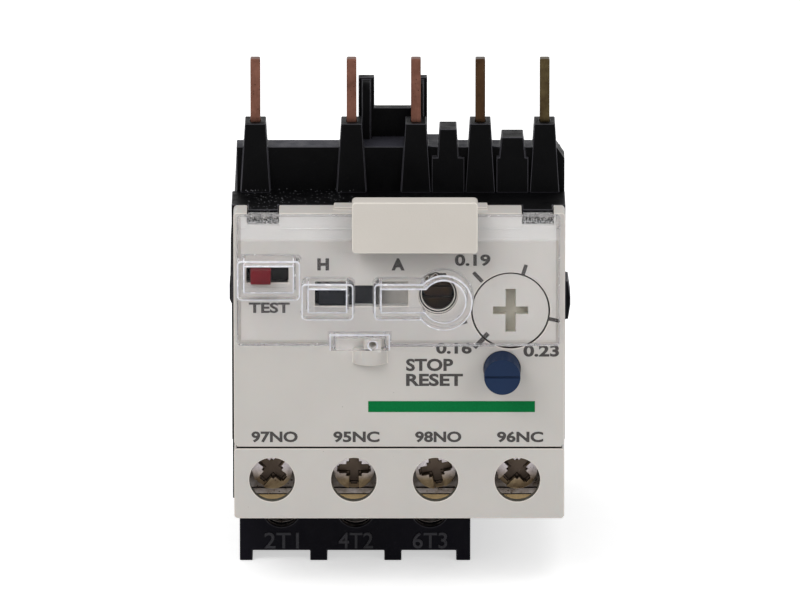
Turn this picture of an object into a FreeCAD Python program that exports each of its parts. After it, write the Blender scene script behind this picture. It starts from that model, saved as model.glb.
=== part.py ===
"""Thermal overload relay: black moulded case, cream front, plug-in prongs, bimetal heaters and trip
mechanism. Millimetres. X runs to the right, Y from the front panel towards the back, Z up.
The origin is the centre of the bounding box on the plane of the feet.
Depths (names with DEPTH, or pairs called d) are measured backwards from the front panel's face."""
import FreeCAD, Part
import math
import os

V = FreeCAD.Vector

# ---- overall sizes
WIDTH = 45.0
DEPTH = 65.0
FRONT_REACH = 4.3
GRIP_PROUD = 0.3
CASE_HALF = WIDTH / 2 - GRIP_PROUD
CASE_RIGHT_INSET = 0.4
CASE_X = (-CASE_HALF, CASE_HALF - CASE_RIGHT_INSET)
PANEL_Y = FRONT_REACH - DEPTH / 2
BACK_DEPTH = DEPTH - FRONT_REACH

# ---- levels
BLOCK_BOTTOM = 1.4
CONTROL_BOTTOM = 10.4
CONTROL_TOP = 20.0
PANEL_GAP = 0.45
SHELF_TOP = 52.1
SHOULDER_RISE = 6.0
TOWER_RISE = 9.2
SHOULDER_TOP = SHELF_TOP + SHOULDER_RISE
TOWER_TOP = SHELF_TOP + TOWER_RISE
PRONG_TOP = 69.8
REAR_TOP = 46.0

# ---- walls, gaps and fits
WALL = 1.5
PANEL_WALL = 1.5
COVER_WALL = 1.2
PARTITION = 1.6
JOINT_GAP = 0.1
SLIDE_GAP = 0.06
RUN_FIT = 0.05
LINE_GAP = 0.02

# ---- how far a cutting block runs past a face, and a joined block into its neighbour
OVER = 1.0
BITE = 0.5

# ---- front cover
COVER_STEP = 0.3
COVER_HALF = CASE_HALF - COVER_STEP
COVER_RIGHT_INSET = 0.2
COVER_X = (-COVER_HALF, COVER_HALF - COVER_RIGHT_INSET)


def left_span(inset, width):
    """Limits of a feature set in from the front cover's left side."""
    return (inset - COVER_HALF, inset - COVER_HALF + width)


def right_span(inset, width):
    """Limits of a feature set in from the front cover's right side."""
    return (COVER_HALF - inset - width, COVER_HALF - inset)


LIP_DEPTH = 4.4
LIP_WALL = 1.2
LIP_RAISE = 0.35
LIP_RAISE_FRONT = 1.7
LIP_RAISE_X = (-8.7, 11.5)
PANEL_BOTTOM = CONTROL_TOP + PANEL_GAP
COVER_CORNER = 0.5
NOTCH_INSETS = (1.8, 1.7)
NOTCH_WIDTH = 4.2
NOTCHES = (left_span(NOTCH_INSETS[0], NOTCH_WIDTH), right_span(NOTCH_INSETS[1], NOTCH_WIDTH))
NOTCH_DEPTH = 1.8
LATCH_X = 11.5
LATCH_WIDTH = 3.0
LATCH_WALL = 0.9
LATCH_LENGTH = 7.0
LATCH_HOOK = 0.5
LATCH_HOOK_LENGTH = 1.4
LATCH_ROOM = 0.3

# ---- case chambers
SHOULDER_DEPTH = 11.7
MECHANISM_DEPTH = 10.2
REAR_COVER_WALL = 2.0
CASE_BACK = BACK_DEPTH - REAR_COVER_WALL
CASE_INNER = CASE_HALF - WALL
PHASES = 3
PHASE_MARGIN = 0.75
TRIP_ROOM = 10.95
PHASE_HALF = (2 * CASE_INNER - PHASE_MARGIN - TRIP_ROOM - PHASES * PARTITION) / (2 * PHASES)
PHASE_PITCH = 2 * PHASE_HALF + PARTITION
PHASE_X0 = PHASE_MARGIN + PHASE_HALF - CASE_INNER
PHASE_X = tuple(PHASE_X0 + PHASE_PITCH * i for i in range(PHASES))
PHASE_FLOOR = CONTROL_BOTTOM + WALL
PHASE_CEILING = REAR_TOP - WALL
TRIP_CHAMBER_BACK = 30.0
GRIP_LEFT = ((0.0, 38.3), (GRIP_PROUD, 39.0), (GRIP_PROUD, 40.8), (0.12, 47.4), (0.0, 49.3))
GRIP_RIGHT = ((0.0, 36.2), (GRIP_PROUD, 38.2), (GRIP_PROUD, 39.2), (0.0, 41.4))
GRIP_D = (5.5, 10.5)

# ---- rear cover screws
CASE_SCREW_R = 1.0
CASE_SCREW_HEAD_R = 1.9
CASE_SCREW_HEAD = 1.2
CASE_SCREW_LENGTH = 9.0
CASE_BOSS_R = 1.6
CASE_BOSS_LENGTH = 11.0
CASE_SCREW_INSET = 1.9
CASE_SCREW_X = CASE_HALF - CASE_SCREW_INSET
CASE_SCREW_RISE = 4.2
CASE_SCREW_DROP = 3.8
CASE_SCREW_Z = (CONTROL_BOTTOM + CASE_SCREW_RISE, REAR_TOP - CASE_SCREW_DROP)
CASE_SCREW_SLOT = 0.6

# ---- shoulder, towers and prongs
SHOULDER_INSETS = (0.6, 0.45)
SHOULDER_X = (SHOULDER_INSETS[0] - CASE_HALF, CASE_HALF - SHOULDER_INSETS[1])
SHOULDER_THICK = 3.85
SHOULDER_CHAMFER = (1.1, 1.6)
TOWER_INSET = 3.1
TOWER_PITCH = 8.5
TOWER_LAST = CASE_HALF - TOWER_INSET
TOWER_X = (-TOWER_LAST,) + tuple(TOWER_LAST - TOWER_PITCH * i for i in (3, 2, 1, 0))
TOWER_TOP_WIDTH = 2.75
TOWER_BASE_WIDTH = 3.9
TOWER_PROUD = 1.0
TOWER_LEAN = 0.75
RIB_DROPS = (0.7, 1.8)
RIB_WIDTHS = ((2.7, 2.25), (3.42, 2.85))
RIB_BASE_WIDTHS = (4.3, 4.2)
RIB_SHELF_RISE = 4.7
RIB_SHELF = SHELF_TOP + RIB_SHELF_RISE
PRONG_WIDTH = 1.3
PRONG_THICK = 1.6
PRONG_DEPTH = 13.5
PRONG_TIP = 0.12
PRONG_FOOT_Z = 36.6
PRONG_FOOT_WALL = 1.2
PRONG_FOOT_BACK = 20.5
CONTROL_PRONG_BOTTOM = 40.0

# ---- hook that grips the contactor
HOOK_ARMS = ((-5.5, -3.4), (1.5, 3.6))
HOOK_BACK = 3.1
HOOK_RISE = 8.1
HOOK_PLATE_RISE = 3.95
HOOK_TOP = SHOULDER_TOP + HOOK_RISE
HOOK_PLATE_TOP = SHOULDER_TOP + HOOK_PLATE_RISE
HOOK_WALL = 1.5
HOOK_FIN = 1.1
HOOK_LEDGE_X = (-7.6, 5.6)
HOOK_TENON = 2.4
HOOK_TENON_SIDE = 0.4
HOOK_TENON_FRONT = 0.6
HOOK_FIN_DROP = 0.3

# ---- marker holder
MARKER_X = (-6.3, 10.2)
MARKER_BELOW = 4.4
MARKER_ABOVE = 2.5
MARKER_Z = (SHELF_TOP - MARKER_BELOW, SHELF_TOP + MARKER_ABOVE)
MARKER_PROUD = 4.2
MARKER_CORNER = 0.5
MARKER_PEG_R = 0.9
MARKER_PEG_INSET = 3.5
MARKER_PEG_RISE = 1.9
MARKER_PEG_Z = MARKER_Z[0] + MARKER_PEG_RISE

# ---- hinged clear cover
CLEAR_INSETS = (0.45, 0.85)
CLEAR_X = (CLEAR_INSETS[0] - COVER_HALF, COVER_HALF - CLEAR_INSETS[1])
CLEAR_BOTTOM = 34.3
CLEAR_WALL = 1.2
CLEAR_BOX_WALL = 0.8
TEST_BOX_INSET = 0.5
TEST_BOX_WIDTH = 8.3
CLEAR_TEST_BOX = (left_span(TEST_BOX_INSET, TEST_BOX_WIDTH), (41.3, 46.7))
CLEAR_HAND_BOX = ((-12.95, -6.1), (38.6, 43.6))
CLEAR_AUTO_BOX = ((-3.4, 5.0), (38.6, 43.6))
CLEAR_BOSS_R = 3.8
CLEAR_BOSS_X = 5.75
CLEAR_BOX_CORNER = 0.6
CLEAR_RELIEF = 0.4
CLEAR_RELIEF_DROP = 1.4
HINGE_DEPTH = 0.5
HINGE_DROP = 0.6
HINGE_Z = SHELF_TOP - HINGE_DROP
HINGE_PIN_R = 0.3
HINGE_EYE_R = 0.6
HINGE_PIN_BITE = 0.8
SEAL_HOOD_X = (-9.3, -1.3)
SEAL_HOOD_Z = (34.0, 36.2)
SEAL_HOOD_PROUD = 2.2
SEAL_HOOD_WALL = 0.7
SEAL_HOLE_R = 0.5
SEAL_HOLE_X = -3.6
SEAL_HOLE_Z = 34.65
SEAL_LUG_X = (-6.2, -1.7)
SEAL_LUG_BOTTOM = 31.7
SEAL_LUG_PROUD = 1.5
SEAL_POST_WIDTH = 2.2
SEAL_POST_PROUD = 1.3

# ---- setting dial, cam and follower
DIAL_INSET = 7.35
DIAL_X = COVER_HALF - DIAL_INSET
DIAL_Z = 38.86
DIAL_R = 5.05
DIAL_GAP = 0.15
DIAL_SET_BACK = 0.25
DIAL_FLANGE = 0.25
DIAL_FLANGE_WALL = 0.8
DIAL_SHAFT_R = 2.0
DIAL_SHAFT_END = 11.2
DIAL_TURN = 286.0
CROSS_ARM = (1.3, 5.8)
CROSS_BAR = (4.6, 1.0)
CROSS_DEEP = 1.1
CAM_LOW_R = 3.0
CAM_RISE = 1.2
CAM_D = (3.6, 5.0)
CAM_STEPS = 48
CAM_LEAD = 0.15
FOLLOWER_GAP = 0.1
FOLLOWER_TIP = 0.8
FOLLOWER_HEIGHT = 1.5
FOLLOWER_LEFT = -6.0
FOLLOWER_NOSE = 2.5

# ---- reset button
RESET_INSET = 8.45
RESET_X = COVER_HALF - RESET_INSET
RESET_Z = 30.9
RESET_R = 2.39
RESET_PROUD = FRONT_REACH
RESET_TRAVEL = 2.5
RESET_FLANGE_R = 2.66
RESET_FLANGE_WALL = 1.0
RESET_STEM_R = 1.2
RESET_STEM_END = 8.4
RESET_GROOVE = 0.25
SPRING_COIL_R = 1.85
SPRING_WIRE_R = 0.22
SPRING_TURNS = 6

# ---- test slider and hand/auto selector
TEST_SLOT_INSET = 1.7
TEST_SLOT_WIDTH = 5.55
TEST_SLOT = (left_span(TEST_SLOT_INSET, TEST_SLOT_WIDTH), (42.7, 44.75))
TEST_KNOB_INSET = 2.25
TEST_KNOB_WIDTH = 2.65
TEST_KNOB = left_span(TEST_KNOB_INSET, TEST_KNOB_WIDTH)
TEST_TRAVEL = 2.1
TEST_PLATE_INSET = 1.4
TEST_PLATE_WIDTH = 6.25
TEST_PLATE = left_span(TEST_PLATE_INSET, TEST_PLATE_WIDTH)
TEST_ARM_INSET = 4.4
TEST_ARM_WIDTH = 1.5
TEST_ARM = left_span(TEST_ARM_INSET, TEST_ARM_WIDTH)
SELECT_SLOT = ((-11.2, 1.05), (39.5, 42.3))
SELECT_KNOB = (-10.7, -7.1)
SELECT_TRAVEL = 4.4
SELECT_PLATE = (-11.6, -3.3)
SLIDER_WALL = 1.0
SLIDER_LAP = 0.8
KNOB_SET_BACK = 0.15
TEST_PROUD = 1.4
GUIDE_WALL = 0.8
GUIDE_INSET = 1.4
GUIDE_RIGHT = 1.9
GUIDE_X = (GUIDE_INSET - COVER_HALF, GUIDE_RIGHT)
GUIDE_Z = (37.4, 46.4)
GUIDE_BOSS_R = 0.8
GUIDE_BOSS_STEPS = (1.9, 2.4)
GUIDE_BOSSES = ((GUIDE_X[0] + GUIDE_BOSS_STEPS[0], 39.4), (SELECT_PLATE[0] - GUIDE_BOSS_STEPS[1], 38.6),
                (-7.6, 45.2), (0.6, 45.2))
GUIDE_RAIL = 1.0
WELL_X = 5.0
WELL_Z = 41.0
WELL_R = 2.6
WELL_RIM = 0.6
WELL_BORE_R = 2.15
CALIBRATION_HEAD_R = 2.1
CALIBRATION_SHANK_R = 1.0
CALIBRATION_HEAD = (5.4, 6.8)
CALIBRATION_SLOT = 0.6
CALIBRATION_SLOT_DEEP = 0.7
CALIBRATION_END = 11.2

# ---- control terminals
CONTROL_COUNT = 4
CONTROL_INSETS = (5.0, 6.4)
CONTROL_X0 = CONTROL_INSETS[0] - COVER_HALF
CONTROL_PITCH = (2 * COVER_HALF - CONTROL_INSETS[0] - CONTROL_INSETS[1]) / (CONTROL_COUNT - 1)
CONTROL_X = tuple(CONTROL_X0 + CONTROL_PITCH * i for i in range(CONTROL_COUNT))
CONTROL_SCREW_Z = 15.7
CONTROL_HOLE_R = 3.0
CONTROL_COVER_DEPTH = 8.4
CONTROL_SCREW_R = 1.45
CONTROL_HEAD_R = 2.75
CONTROL_HEAD = 2.0
CONTROL_TRAVEL = 2.0
CONTROL_CLAMP = 6.2
CONTROL_CLAMP_WALL = 1.0
CONTROL_BAR_WALL = 1.2
CONTROL_BAR_DEPTH = 8.6
CONTROL_BAR_WIDTH = 6.4
CONTROL_BAR_NECK = 3.0
CONTROL_BAR_BOTTOM = 12.4
CONTROL_WALL_DEPTH = CONTROL_BAR_DEPTH + CONTROL_BAR_WALL
CONTROL_SCREW_END = 11.0
WIRE_SLOT_WIDTH = 6.4
WIRE_SLOT_D = (2.0, 7.2)

# ---- load terminals
LOAD_CELL_HALF = 3.8
LOAD_LEFT = (5.6, 3.88)
LOAD_RIGHT = (3.5, 5.4)
LOAD_BLOCK_X = (PHASE_X[0] - LOAD_LEFT[0], PHASE_X[-1] + LOAD_RIGHT[1])
LOAD_FRONT = 16.0
LOAD_WALLS = (((LOAD_BLOCK_X[0], PHASE_X[0] - LOAD_LEFT[1]),)
              + tuple((x + LOAD_CELL_HALF, x + PHASE_PITCH - LOAD_CELL_HALF) for x in PHASE_X[:-1])
              + ((PHASE_X[-1] + LOAD_RIGHT[0], LOAD_BLOCK_X[1]),))
LOAD_SCREW_Z = 7.1
LOAD_HOLE_R = 2.5
LOAD_SCREW_R = 1.7
LOAD_HEAD_R = 2.9
LOAD_HEAD = 2.2
LOAD_TRAVEL = 2.2
LOAD_CLAMP = 6.2
LOAD_CLAMP_WALL = 1.2
LOAD_PLATE_WALL = 1.4
LOAD_PLATE_DEPTH = 23.4
LOAD_PLATE_BOTTOM = 3.9
LOAD_SUPPORT = 3.2
LOAD_BACK_INSET = 14.7
LOAD_BLOCK_BACK = BACK_DEPTH - LOAD_BACK_INSET
LOAD_SCREW_END = 27.2
HEAD_SLOT = 0.8
HEAD_SLOT_DEEP = 0.9
HEAD_SLOT_REACH = 0.8

# ---- heaters
BUSBAR_ROOM = 1.35
BUSBAR_WIDTH = 2 * (PHASE_HALF - BUSBAR_ROOM)
BUSBAR_WALL = 1.2
BUSBAR_INSET = 4.7
BUSBAR_BACK = CASE_BACK - BUSBAR_INSET
HEATER_Z = 30.0
SLEEVE_ROOM = 1.15
SLEEVE_R = PHASE_HALF - SLEEVE_ROOM
SLEEVE_WALL = 0.35
BIMETAL_WALL = 0.8
BIMETAL_ROOM = 0.15
BIMETAL_HEIGHT = 2 * (SLEEVE_R - SLEEVE_WALL - BIMETAL_ROOM)
BIMETAL_FRONT = 12.9
SLEEVE_FRONT = 22.0
SLEEVE_INSET = 6.0
SLEEVE_D = (SLEEVE_FRONT, BUSBAR_BACK - SLEEVE_INSET)
COIL_WIRE_R = 0.3
COIL_R = SLEEVE_R + COIL_WIRE_R + LINE_GAP
COIL_TURNS = 11
COIL_INSETS = (2.0, 3.0)
COIL_D = (SLEEVE_D[0] + COIL_INSETS[0], SLEEVE_D[1] - COIL_INSETS[1])
COIL_RIB = 0.7

# ---- trip mechanism
TRIP_TRAVEL = 1.6
BAR_D = (12.4, 14.2)
BAR_HEIGHT = 2.0
BAR_GAP = 0.4
PUSH_BAR_Z = HEATER_Z + BIMETAL_HEIGHT / 2 + BAR_GAP
PULL_BAR_Z = HEATER_Z - BIMETAL_HEIGHT / 2 - BAR_GAP - BAR_HEIGHT
BAR_END_GAP = 0.35
BAR_LEFT = PHASE_X[0] - PHASE_HALF + BAR_END_GAP
BAR_TAIL = 1.0
BAR_FINGER = 1.2
BAR_REACH = 2.6
NOSE_D = (13.4, 14.2)
NOSE_BOTTOM = 30.0
NOSE_WIDTH = 1.5
NOSE_STEP = 1.0
BAR_WINDOW = 0.25
LEVER_INSET = 2.8
LEVER_X = CASE_INNER - LEVER_INSET
LEVER_ROOM = 3.0
LEVER_WINDOW = 0.6
LEVER_FINGER = 1.0
LEVER_DEPTH = 8.6
LEVER_WALL = 0.8
LEVER_Z = (29.8, 33.2)
LEVER_D = (5.5, 14.6)
LEVER_HUB_R = 1.15
LEVER_PIN_R = 0.6
DIFF_INSETS = (8.3, 6.7)
DIFF_X = (CASE_INNER - DIFF_INSETS[0], CASE_INNER - DIFF_INSETS[1])
DIFF_WALL = 0.8
DIFF_PIN_R = 0.45
DIFF_PIN_START = 0.6
DIFF_HOLE_START = 0.4
DIFF_END = 0.2
FRAME_INSETS = (11.1, 0.3)
FRAME_X = (CASE_INNER - FRAME_INSETS[0], CASE_INNER - FRAME_INSETS[1])
FRAME_Z = (28.3, 36.2)
FRAME_WALL = 1.15
FRAME_RIB = 0.8
EAR_Z = (28.2, 34.4)

# ---- contacts
CONTACT_TRAVEL = 1.1
CARRIER_Z = (25.4, 28.0)
CARRIER_D = (4.0, 7.8)
CARRIER_ENDS = (3.3, 2.9)
CARRIER_X = (CONTROL_X[0] - CARRIER_ENDS[0], CONTROL_X[-1] + CARRIER_ENDS[1])
LUG_D = (4.0, 6.8)
TEST_LEG = 1.5
TEST_ARM_ROOM = 0.4
FINGER_GAP = 0.2
TEST_GAP = 1.1
STRIP_WALL = 0.8
STRIP_WIDTH = 1.4
NC_D = 4.2
NO_D = 6.2
TAB_WALL = 0.8
TAB_DROP = 2.2
CONTACT_R = 0.65
CONTACT_THICK = 0.4
OPEN_GAP = 1.15
SPRING_X = (-8.0, 0.0)
SNAP_COIL_R = 1.0
SNAP_Z = 30.3
SNAP_TURNS = 8
POST_WIDTH = 1.2
POST_STEP = 2.3
POST_X = (SPRING_X[0] - POST_STEP, FRAME_X[0] - POST_WIDTH / 2)
TAB_GAP = 0.2
BAR_LAP = 0.6


# ---- shape helpers
def block(x, d, z):
    """Box between (low, high) pairs; d is the depth behind the panel's face."""
    corner = V(x[0], PANEL_Y + d[0], z[0])
    return Part.makeBox(x[1] - x[0], d[1] - d[0], z[1] - z[0], corner)


def rod_y(r, x, z, d):
    return Part.makeCylinder(r, d[1] - d[0], V(x, PANEL_Y + d[0], z), V(0, 1, 0))


def rod_x(r, x, depth, z):
    return Part.makeCylinder(r, x[1] - x[0], V(x[0], PANEL_Y + depth, z), V(1, 0, 0))


def rod_z(r, x, depth, z):
    return Part.makeCylinder(r, z[1] - z[0], V(x, PANEL_Y + depth, z[0]), V(0, 0, 1))


def around(centre, width):
    """Pair of limits of a length centred on a value."""
    return (centre - width / 2, centre + width / 2)


def grown(pair, by):
    return (pair[0] - by, pair[1] + by)


def join(shapes):
    body = shapes[0].multiFuse(shapes[1:]) if len(shapes) > 1 else shapes[0]
    return body.removeSplitter()


def edges_along_y(body):
    return [e for e in body.Edges if abs((e.Vertexes[0].Point - e.Vertexes[-1].Point).y) > e.Length / 2]


def rounded_block(x, d, z, r):
    """Block whose four edges along Y are rounded."""
    body = block(x, d, z)
    return body.makeFillet(r, edges_along_y(body))


def rectangle(x, d, z):
    corners = [(x[0], d[0]), (x[1], d[0]), (x[1], d[1]), (x[0], d[1]), (x[0], d[0])]
    return Part.makePolygon([V(px, PANEL_Y + pd, z) for px, pd in corners])


def tapered(x, width, top_width, d, top_front, z):
    """Pillar that narrows upwards and leans its front face back."""
    foot = rectangle(around(x, width), d, z[0])
    head = rectangle(around(x, top_width), (top_front, d[1]), z[1])
    return Part.makeLoft([foot, head], True, True)


def ring_coil(axis, centre, r, wire_r, turns, span):
    """Close-turned coil: rings joined by a straight rib, along X or Y."""
    step = (span[1] - span[0] - 2 * wire_r) / (turns - 1)
    first = span[0] + wire_r
    rings = []
    for i in range(turns):
        place = V(*centre) + axis * (first + i * step)
        rings.append(Part.makeTorus(r, wire_r, place, axis))
    rib_start = V(*centre) + axis * first + V(0, 0, r)
    rings.append(Part.makeCylinder(COIL_RIB * wire_r, step * (turns - 1), rib_start, axis))
    return join(rings)


def slotted_screw(x, z, head_r, head_d, shank_r, end):
    """Pan-head screw along Y with a cross-slotted head."""
    screw = join([rod_y(head_r, x, z, head_d), rod_y(shank_r, x, z, (head_d[1], end))])
    deep = (head_d[0] - OVER, head_d[0] + HEAD_SLOT_DEEP)
    long_way = HEAD_SLOT_REACH * head_r
    screw = screw.cut(block(grown((x, x), long_way), deep, around(z, HEAD_SLOT)))
    return screw.cut(block(around(x, HEAD_SLOT), deep, grown((z, z), long_way)))


# ---- case
def phase_walls(x):
    return grown((x, x), PHASE_HALF)


def grip_pad(side, swell):
    """Thumb grip that swells from one side of the case."""
    root = side * (CASE_HALF - WALL / 2)
    outline = [(side * (CASE_HALF + proud), z) for proud, z in swell]
    corners = [(root, swell[0][1])] + outline + [(root, swell[-1][1])]
    corners.append(corners[0])
    face = Part.Face(Part.makePolygon([V(x, PANEL_Y + GRIP_D[0], z) for x, z in corners]))
    return face.extrude(V(0, GRIP_D[1] - GRIP_D[0], 0))


def case_shell():
    front = block(CASE_X, (LIP_DEPTH, SHOULDER_DEPTH), (CONTROL_TOP, SHELF_TOP))
    rear = block(CASE_X, (CONTROL_WALL_DEPTH, CASE_BACK), (CONTROL_BOTTOM, REAR_TOP))
    floor = block((-CASE_INNER, CASE_INNER), (PANEL_WALL + JOINT_GAP, LIP_DEPTH),
                  (CONTROL_TOP, CONTROL_TOP + WALL))
    return join([front, rear, floor, grip_pad(-1, GRIP_LEFT), grip_pad(1, GRIP_RIGHT)])


def case_tongues():
    """Parts of the shelf that fill the cover's notches from behind."""
    tongues = []
    for notch in NOTCHES:
        span = grown(notch, -JOINT_GAP)
        tongues.append(block(span, (NOTCH_DEPTH + JOINT_GAP, LIP_DEPTH), (SHELF_TOP - WALL, SHELF_TOP)))
    return tongues


def latch_pockets():
    """Blind pockets behind the front cover's four hooks."""
    hook_d = (LATCH_LENGTH - LATCH_HOOK_LENGTH - JOINT_GAP, LATCH_LENGTH + LATCH_ROOM)
    deep = LATCH_HOOK + JOINT_GAP
    pockets = []
    for x in (-LATCH_X, LATCH_X):
        span = around(x, LATCH_WIDTH + 2 * JOINT_GAP)
        ceiling = SHELF_TOP - WALL
        floor = CONTROL_TOP + WALL
        pockets.append(block(span, hook_d, (ceiling - OVER, ceiling + deep)))
        pockets.append(block(span, hook_d, (floor - deep, floor + OVER)))
    return pockets


def case_chambers():
    chambers = [block((-CASE_INNER, CASE_INNER), (0, MECHANISM_DEPTH),
                      (CONTROL_TOP + WALL, SHELF_TOP - WALL))]
    inside = (SHOULDER_DEPTH, CASE_BACK + OVER)
    for x in PHASE_X:
        chambers.append(block(phase_walls(x), inside, (PHASE_FLOOR, PHASE_CEILING)))
    trip_left = PHASE_X[-1] + PHASE_HALF + PARTITION
    chambers.append(block((trip_left, CASE_INNER), (SHOULDER_DEPTH, TRIP_CHAMBER_BACK),
                          (PHASE_FLOOR, PHASE_CEILING)))
    chambers.append(block((trip_left, CASE_INNER), (TRIP_CHAMBER_BACK + WALL, inside[1]),
                          (PHASE_FLOOR, PHASE_CEILING)))
    return chambers


def prong_passages():
    """Slots in the case's roof that let the prongs down into the chambers."""
    slots = []
    for x in TOWER_X:
        slots.append(block(grown(around(x, PRONG_WIDTH), JOINT_GAP),
                           grown(around(PRONG_DEPTH, PRONG_THICK), JOINT_GAP),
                           (PHASE_CEILING - OVER, REAR_TOP + OVER)))
    return slots


def mechanism_windows():
    """Ways from the front chamber into the chambers behind it, for the bars, lever, shaft and stems."""
    reach = (PHASE_X[0], CASE_INNER)
    through = (MECHANISM_DEPTH - OVER, SHOULDER_DEPTH + OVER)
    windows = []
    for z in (PUSH_BAR_Z, PULL_BAR_Z):
        bar_z = grown((z, z + BAR_HEIGHT), BAR_WINDOW)
        windows.append(block(reach, grown(BAR_D, BAR_WINDOW), bar_z))
    windows.append(block((LEVER_X - LEVER_ROOM, CASE_INNER), through, grown(LEVER_Z, LEVER_WINDOW)))
    windows.append(rod_y(DIAL_SHAFT_R + RUN_FIT, DIAL_X, DIAL_Z, through))
    windows.append(rod_y(RESET_STEM_R + JOINT_GAP, RESET_X, RESET_Z, through))
    windows.append(rod_y(CALIBRATION_SHANK_R, WELL_X, WELL_Z, (CALIBRATION_HEAD[1], CALIBRATION_END)))
    return windows


def terminal_cuts():
    cuts = []
    for x in CONTROL_X:
        neck = grown(around(x, CONTROL_BAR_NECK), JOINT_GAP)
        bar_d = grown((CONTROL_BAR_DEPTH, CONTROL_WALL_DEPTH), JOINT_GAP)
        cuts.append(block(neck, bar_d, (CONTROL_TOP - OVER, CONTROL_TOP + WALL + OVER)))
        cuts.append(rod_y(CONTROL_SCREW_R + JOINT_GAP, x, CONTROL_SCREW_Z,
                          (CONTROL_WALL_DEPTH - OVER, CONTROL_SCREW_END + JOINT_GAP)))
    for x in PHASE_X:
        slot_d = grown((LOAD_PLATE_DEPTH, LOAD_PLATE_DEPTH + LOAD_PLATE_WALL), JOINT_GAP)
        cuts.append(block(grown(around(x, BUSBAR_WIDTH), JOINT_GAP), slot_d,
                          (CONTROL_BOTTOM - OVER, PHASE_FLOOR + OVER)))
    return cuts


def control_ribs():
    """Barriers between the control terminals."""
    ribs = []
    for left, right in zip(CONTROL_X, CONTROL_X[1:]):
        middle = (left + right) / 2
        ribs.append(block(around(middle, COVER_WALL), (PANEL_WALL + JOINT_GAP, CONTROL_WALL_DEPTH + BITE),
                          grown((CONTROL_BOTTOM, CONTROL_TOP), -COVER_WALL - JOINT_GAP)))
    return ribs


def carrier_posts():
    """Posts on the chamber's back wall that guide the contact carrier and hold the snap spring."""
    back = MECHANISM_DEPTH + BITE
    posts = []
    for x in POST_X:
        posts.append(block(around(x, POST_WIDTH), (CARRIER_D[1] + SLIDE_GAP, back), CARRIER_Z))
        posts.append(block(around(x, POST_WIDTH), (CARRIER_D[0], back),
                           (CARRIER_Z[1] + SLIDE_GAP, CARRIER_Z[1] + POST_WIDTH)))
    posts.append(block((SPRING_X[1], SPRING_X[1] + POST_WIDTH), (CARRIER_D[0], back),
                       (SNAP_Z - SNAP_COIL_R, SNAP_Z + SNAP_COIL_R)))
    return posts


def calibration_boss():
    d = (CALIBRATION_HEAD[1] + JOINT_GAP, MECHANISM_DEPTH + BITE)
    return rod_y(CALIBRATION_SHANK_R + WALL, WELL_X, WELL_Z, d)


def case_bosses():
    bosses = []
    for x in (-CASE_SCREW_X, CASE_SCREW_X):
        for z in CASE_SCREW_Z:
            bosses.append(rod_y(CASE_BOSS_R, x, z, (CASE_BACK - CASE_BOSS_LENGTH, CASE_BACK)))
    return bosses


def case_screw_holes(r, d):
    return [rod_y(r, x, z, d) for x in (-CASE_SCREW_X, CASE_SCREW_X) for z in CASE_SCREW_Z]


def base_housing():
    body = case_shell().cut(join(case_chambers()))
    within = block(CASE_X, (0, CASE_BACK), (CONTROL_BOTTOM, SHELF_TOP))
    additions = case_bosses() + control_ribs() + carrier_posts() + [calibration_boss()] + case_tongues()
    body = join([body] + [piece.common(within) for piece in additions])
    screws = case_screw_holes(CASE_SCREW_R, (BACK_DEPTH - CASE_SCREW_LENGTH - JOINT_GAP, CASE_BACK + OVER))
    cuts = prong_passages() + mechanism_windows() + terminal_cuts() + latch_pockets() + screws
    return body.cut(cuts).removeSplitter()


def rear_cover():
    plate = block(CASE_X, (CASE_BACK, BACK_DEPTH), (CONTROL_BOTTOM, REAR_TOP))
    holes = case_screw_holes(CASE_SCREW_R + JOINT_GAP, (CASE_BACK - OVER, BACK_DEPTH + OVER))
    sinks = case_screw_holes(CASE_SCREW_HEAD_R + JOINT_GAP, (BACK_DEPTH - CASE_SCREW_HEAD, BACK_DEPTH + OVER))
    return plate.cut(holes + sinks)


def case_screws():
    """The four screws of the rear cover, as separate solids."""
    neck = BACK_DEPTH - CASE_SCREW_HEAD
    screws = []
    for x in (-CASE_SCREW_X, CASE_SCREW_X):
        for z in CASE_SCREW_Z:
            head = rod_y(CASE_SCREW_HEAD_R, x, z, (neck, BACK_DEPTH))
            shank = rod_y(CASE_SCREW_R, x, z, (BACK_DEPTH - CASE_SCREW_LENGTH, neck))
            slot = block(grown((x, x), HEAD_SLOT_REACH * CASE_SCREW_HEAD_R),
                         (BACK_DEPTH - CASE_SCREW_HEAD / 2, BACK_DEPTH + OVER), around(z, CASE_SCREW_SLOT))
            screws.append(join([head, shank]).cut(slot))
    return Part.makeCompound(screws)


# ---- shoulder with towers, and the prongs in them
def tower_front(z):
    """Depth of the towers' leaning front face at a level."""
    share = (z - SHELF_TOP) / (TOWER_TOP - SHELF_TOP)
    return SHOULDER_DEPTH - TOWER_PROUD + share * TOWER_LEAN


def shoulder_corner(d):
    """What the chamfer at the shoulder's upper right corner takes off."""
    right = SHOULDER_X[1]
    across, drop = SHOULDER_CHAMFER
    corner = [(right - across, SHOULDER_TOP), (right + OVER, SHOULDER_TOP),
              (right + OVER, SHOULDER_TOP - drop), (right, SHOULDER_TOP - drop), (right - across, SHOULDER_TOP)]
    face = Part.Face(Part.makePolygon([V(x, PANEL_Y + d[0], z) for x, z in corner]))
    return face.extrude(V(0, d[1] - d[0], 0))


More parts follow.
